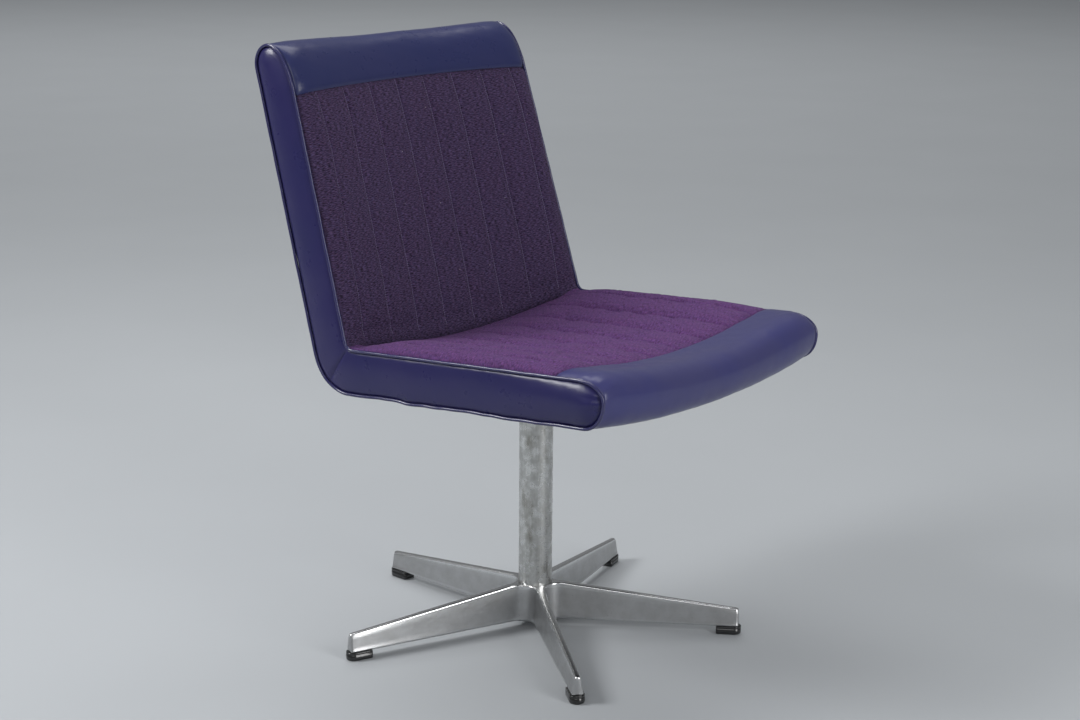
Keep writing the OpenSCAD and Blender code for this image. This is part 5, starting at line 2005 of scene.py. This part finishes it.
    def close_ring(
        self, points: list, shine: list[float], faces: Faces, first: int, hole: float,
        hole_height: float, gloss: float,
    ) -> None:
        """Fills a ring with strips along the arms and a fan round the axis.

        Args:
            points: All points so far; new ones are added.
            shine: Share of the edge mask of each point: glossier, with a painted highlight.
            faces: All faces so far; new ones are added.
            first: Number of the ring's first point.
            hole: Radius of the hole round the axis.
            hole_height: Height of that hole's rim.
            gloss: Share of the edge mask of the new points.
        """
        plan = self.plan
        stations, tips, webs = plan.stations, plan.tip_points, plan.web_points - 1
        per_arm = 2 * stations + tips + webs
        between = 3
        inside = gloss == 0.0

        def new_point(place: Array) -> int:
            """Adds a point and gives its number."""
            points.append(tuple(place))
            shine.append(gloss)
            return len(points) - 1

        def fill(low: list[int], high: list[int]) -> None:
            """Adds the faces between two rows of points."""
            faces.extend(zip(low, low[1:], high[1:], high))

        for arm in range(plan.arms):
            start = first + arm * per_arm
            tip = range(start + stations, start + stations + tips)
            rows = []
            for i in range(stations):
                right, left = start + i, start + per_arm - webs - 1 - i
                a, b = np.array(points[right]), np.array(points[left])
                middle = []
                for k in range(1, between + 1):
                    place = a + (b - a) * k / (between + 1)
                    if inside:
                        place[2] = float(self.ceiling(np.array(math.hypot(place[0], place[1]))))
                    middle.append(new_point(place))
                rows.append([right, *middle, left])
            for low, high in zip(rows, rows[1:]):
                fill(low, high)
            faces.append((*rows[-1], *reversed(tip)))
            before = first + (arm - 1) % plan.arms * per_arm
            web_before, web_after = (
                list(range(base + per_arm - webs, base + per_arm)) for base in (before, start))
            half = webs // 2
            rim = web_before[half:] + rows[0] + web_after[: half + 1]
            sweep = np.linspace(-plan.half_angle, plan.half_angle, len(rim))
            previous = rim
            for share in (0.4, 0.8, 1.0):
                ring = []
                for number, angle in zip(rim, plan.arm_angle(arm) + sweep):
                    edge = np.array([hole * math.cos(angle), hole * math.sin(angle), hole_height])
                    outer = np.array(points[number])
                    place = outer + (edge - outer) * share
                    if share < 1.0:
                        place[2] = plan.hub_floor if inside else outer[2]
                    ring.append(new_point(place))
                fill(previous, ring)
                previous = ring

    def glide(self, number: int) -> None:
        """One black glide under an arm's tip.

        Args:
            number: Number of the arm, from 0.
        """
        plan = self.plan
        arc = np.linspace(-math.pi / 2.0, math.pi / 2.0, 25)
        heel = np.linspace(0.0, math.pi / 2.0, 6)
        centre = plan.foot_reach - plan.glide_half
        back = plan.foot_reach - plan.glide_length
        rings = []
        profile = ((0.0, 2.6), (0.35, 1.2), (1.1, 0.35), (2.2, 0.0), (8.3, 0.0), (8.7, 0.55),
                   (9.1, 0.6), (9.4, 0.1), (9.9, 0.0), (11.2, 0.0), (11.8, 0.35), (12.0, 1.1))
        for level, inset in profile:
            r = plan.glide_half - inset * MM
            c = max(plan.glide_corner - inset * MM, 0.3 * MM)
            low = back + inset * MM
            nose = np.stack([centre + r * np.cos(arc), r * np.sin(arc)], -1)
            left = np.stack([low + c - c * np.sin(heel), r - c + c * np.cos(heel)], -1)
            right = left[::-1] * [1.0, -1.0]
            ring = np.concatenate([nose, left, right])
            rings.append(turned(ring, plan.arm_angle(number), level * MM))
        faces = ring_faces(len(rings), len(rings[0]), caps=True)
        piece = finish_mesh(f"black_glide_{number + 1}", np.concatenate(rings), faces,
                            crease_angle=math.radians(60.0))
        self.finishes.dress(piece, "glide_black")
        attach(piece, Body.BASE.value)
        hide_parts(f"glide_{number + 1}")


# Studio


@dataclass(frozen=True)
class Softbox:
    """One rectangular studio lamp that looks at a point."""

    name: str
    place: Triple
    target: Triple
    size: Pair
    power: float
    colour: Colour = (1.0, 1.0, 1.0)

    def build(self) -> bpy.types.Object:
        """Makes the lamp."""
        data = bpy.data.lights.new(self.name, "AREA")
        data.shape = "RECTANGLE"
        data.size, data.size_y = self.size
        data.energy = self.power
        data.color = self.colour
        lamp = bpy.data.objects.new(self.name, data)
        bpy.context.scene.collection.objects.link(lamp)
        lamp.location = self.place
        aim = Matrix.Translation(self.target).translation - lamp.location
        lamp.rotation_euler = aim.to_track_quat("-Z", "Y").to_euler()
        return lamp


@dataclass(frozen=True)
class Studio:
    """Camera, floor, lamps and surroundings of the picture."""

    azimuth: float = math.radians(-50.46)
    elevation: float = math.radians(16.16)
    distance: float = 2.94
    aim_height: float = 0.3
    yaw: float = math.radians(0.09)
    pitch: float = math.radians(-1.82)
    roll: float = math.radians(-0.41)
    focal_pixels: float = 2060.0
    picture_width: float = 1080.0
    sensor: float = 36.0
    floor_colour: Colour = (0.42, 0.44, 0.46)
    floor_reach: float = 30.0
    light_colour: Colour = (0.20, 0.205, 0.21)
    seen_colour: Colour = (0.36, 0.37, 0.39)

    def axes(self) -> tuple[Array, Array, Array]:
        """Right, up and back of a camera that looks at the aim point."""
        back = np.array([
            math.sin(self.azimuth) * math.cos(self.elevation),
            -math.cos(self.azimuth) * math.cos(self.elevation),
            math.sin(self.elevation),
        ])
        right = np.array([math.cos(self.azimuth), math.sin(self.azimuth), 0.0])
        return right, np.cross(back, right), back

    def camera(self) -> None:
        """Makes the camera at the photograph's place and turn."""
        right, up, back = self.axes()
        rotation = Matrix((right, up, back))
        for angle, axis in ((self.yaw, "Y"), (self.pitch, "X"), (self.roll, "Z")):
            rotation = Matrix.Rotation(angle, 3, axis) @ rotation
        data = bpy.data.cameras.new("Camera")
        data.sensor_width = self.sensor
        data.lens = self.focal_pixels / self.picture_width * self.sensor
        data.clip_end = 100.0
        camera = bpy.data.objects.new("Camera", data)
        bpy.context.scene.collection.objects.link(camera)
        place = back * self.distance + np.array([0.0, 0.0, self.aim_height])
        turn = rotation.transposed().to_4x4()
        camera.matrix_world = Matrix.Translation(place.tolist()) @ turn
        bpy.context.scene.camera = camera

    def floor(self) -> None:
        """Makes the plain pale floor."""
        r = self.floor_reach
        mesh = bpy.data.meshes.new("floor")
        mesh.from_pydata([(-r, -r, 0), (r, -r, 0), (r, r, 0), (-r, r, 0)], [], [(0, 1, 2, 3)])
        plane = link_object("floor", mesh)
        shader = Shader("Floor paper", Coordinates.SOLID, Roughness=0.8, Specular_IOR_Level=0.2)
        inputs = {"Vector": shader.vector, "Scale": 2.2, "Detail": 4.0}
        noise = shader.add("ShaderNodeTexNoise", inputs).outputs["Fac"]
        pale = rgba(self.floor_colour, 1.06)
        shader.feed(Base_Color=shader.mix(noise, rgba(self.floor_colour), pale))
        mesh.materials.append(shader.material)
        plane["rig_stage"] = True

    def toward(self, left: float, near: float, height: float) -> Triple:
        """A place given as the camera sees it, to the left of the chair and nearer than it."""
        right = np.array([math.cos(self.azimuth), math.sin(self.azimuth), 0.0])
        front = np.array([math.sin(self.azimuth), -math.cos(self.azimuth), 0.0])
        place = -right * left + front * near
        return (float(place[0]), float(place[1]), height)

    def lamps(self) -> None:
        """Makes the lamps."""
        for name, place, aim_height, size, power in (
            ("Key", (2.6, 0.35, 2.5), 0.4, (1.0, 1.1), 66.0),
            ("Overhead", (0.3, -1.0, 3.1), 0.2, (2.6, 1.2), 30.0),
            ("Right fill", (-2.1, 2.0, 1.3), 0.5, (0.9, 2.2), 40.0),
            ("Front fill", (0.6, 3.6, 3.0), 0.3, (2.4, 1.6), 26.0),
        ):
            Softbox(name, self.toward(*place), (0.0, 0.0, aim_height), size, power).build()
        above, below = self.toward(1.4, -6.8, 6.5), self.toward(1.4, -7.2, 0.0)
        backdrop = Softbox("Backdrop", above, below, (8.0, 6.0), 320.0)
        backdrop.build().visible_glossy = False

    def surroundings(self) -> None:
        """Makes the even light and the grey that is seen round the floor."""
        world = bpy.data.worlds.new("Studio")
        world.use_nodes = True
        bpy.context.scene.world = world
        nodes = Nodes(world.node_tree)
        path = nodes.add("ShaderNodeLightPath").outputs
        seen = nodes.math("MAXIMUM", path["Is Camera Ray"], path["Is Transmission Ray"])
        shown = nodes.mix(seen, rgba(self.light_colour), rgba(self.seen_colour))
        nodes.tree.links.new(shown, nodes.tree.nodes["Background"].inputs["Color"])

    def build(self) -> None:
        """Sets up the whole studio."""
        bpy.context.scene.view_settings.view_transform = "Standard"
        self.camera()
        self.floor()
        self.lamps()
        self.surroundings()


def dress_solids(finishes: Finishes) -> None:
    """Gives every solid of the frame its slot's material."""
    slots = {part["node"]: part["material_slot"] for part in frame["record"]["subparts"]}
    for name, node in frame["nodes"].items():
        finishes.dress(node, slots[name])


def corners() -> list[list[float]]:
    """Lowest and highest corner of what is shown."""
    return [list(corner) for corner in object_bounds()]


def main() -> None:
    """Builds the studio and dresses the chair."""
    logging.basicConfig(level=logging.INFO, format="%(name)s: %(message)s")
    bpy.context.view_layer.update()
    Studio().build()
    finishes = Finishes()
    dress_solids(finishes)
    Upholstery(finishes).build()
    StarBase(finishes).build()


if __name__ == "__main__":
    main()
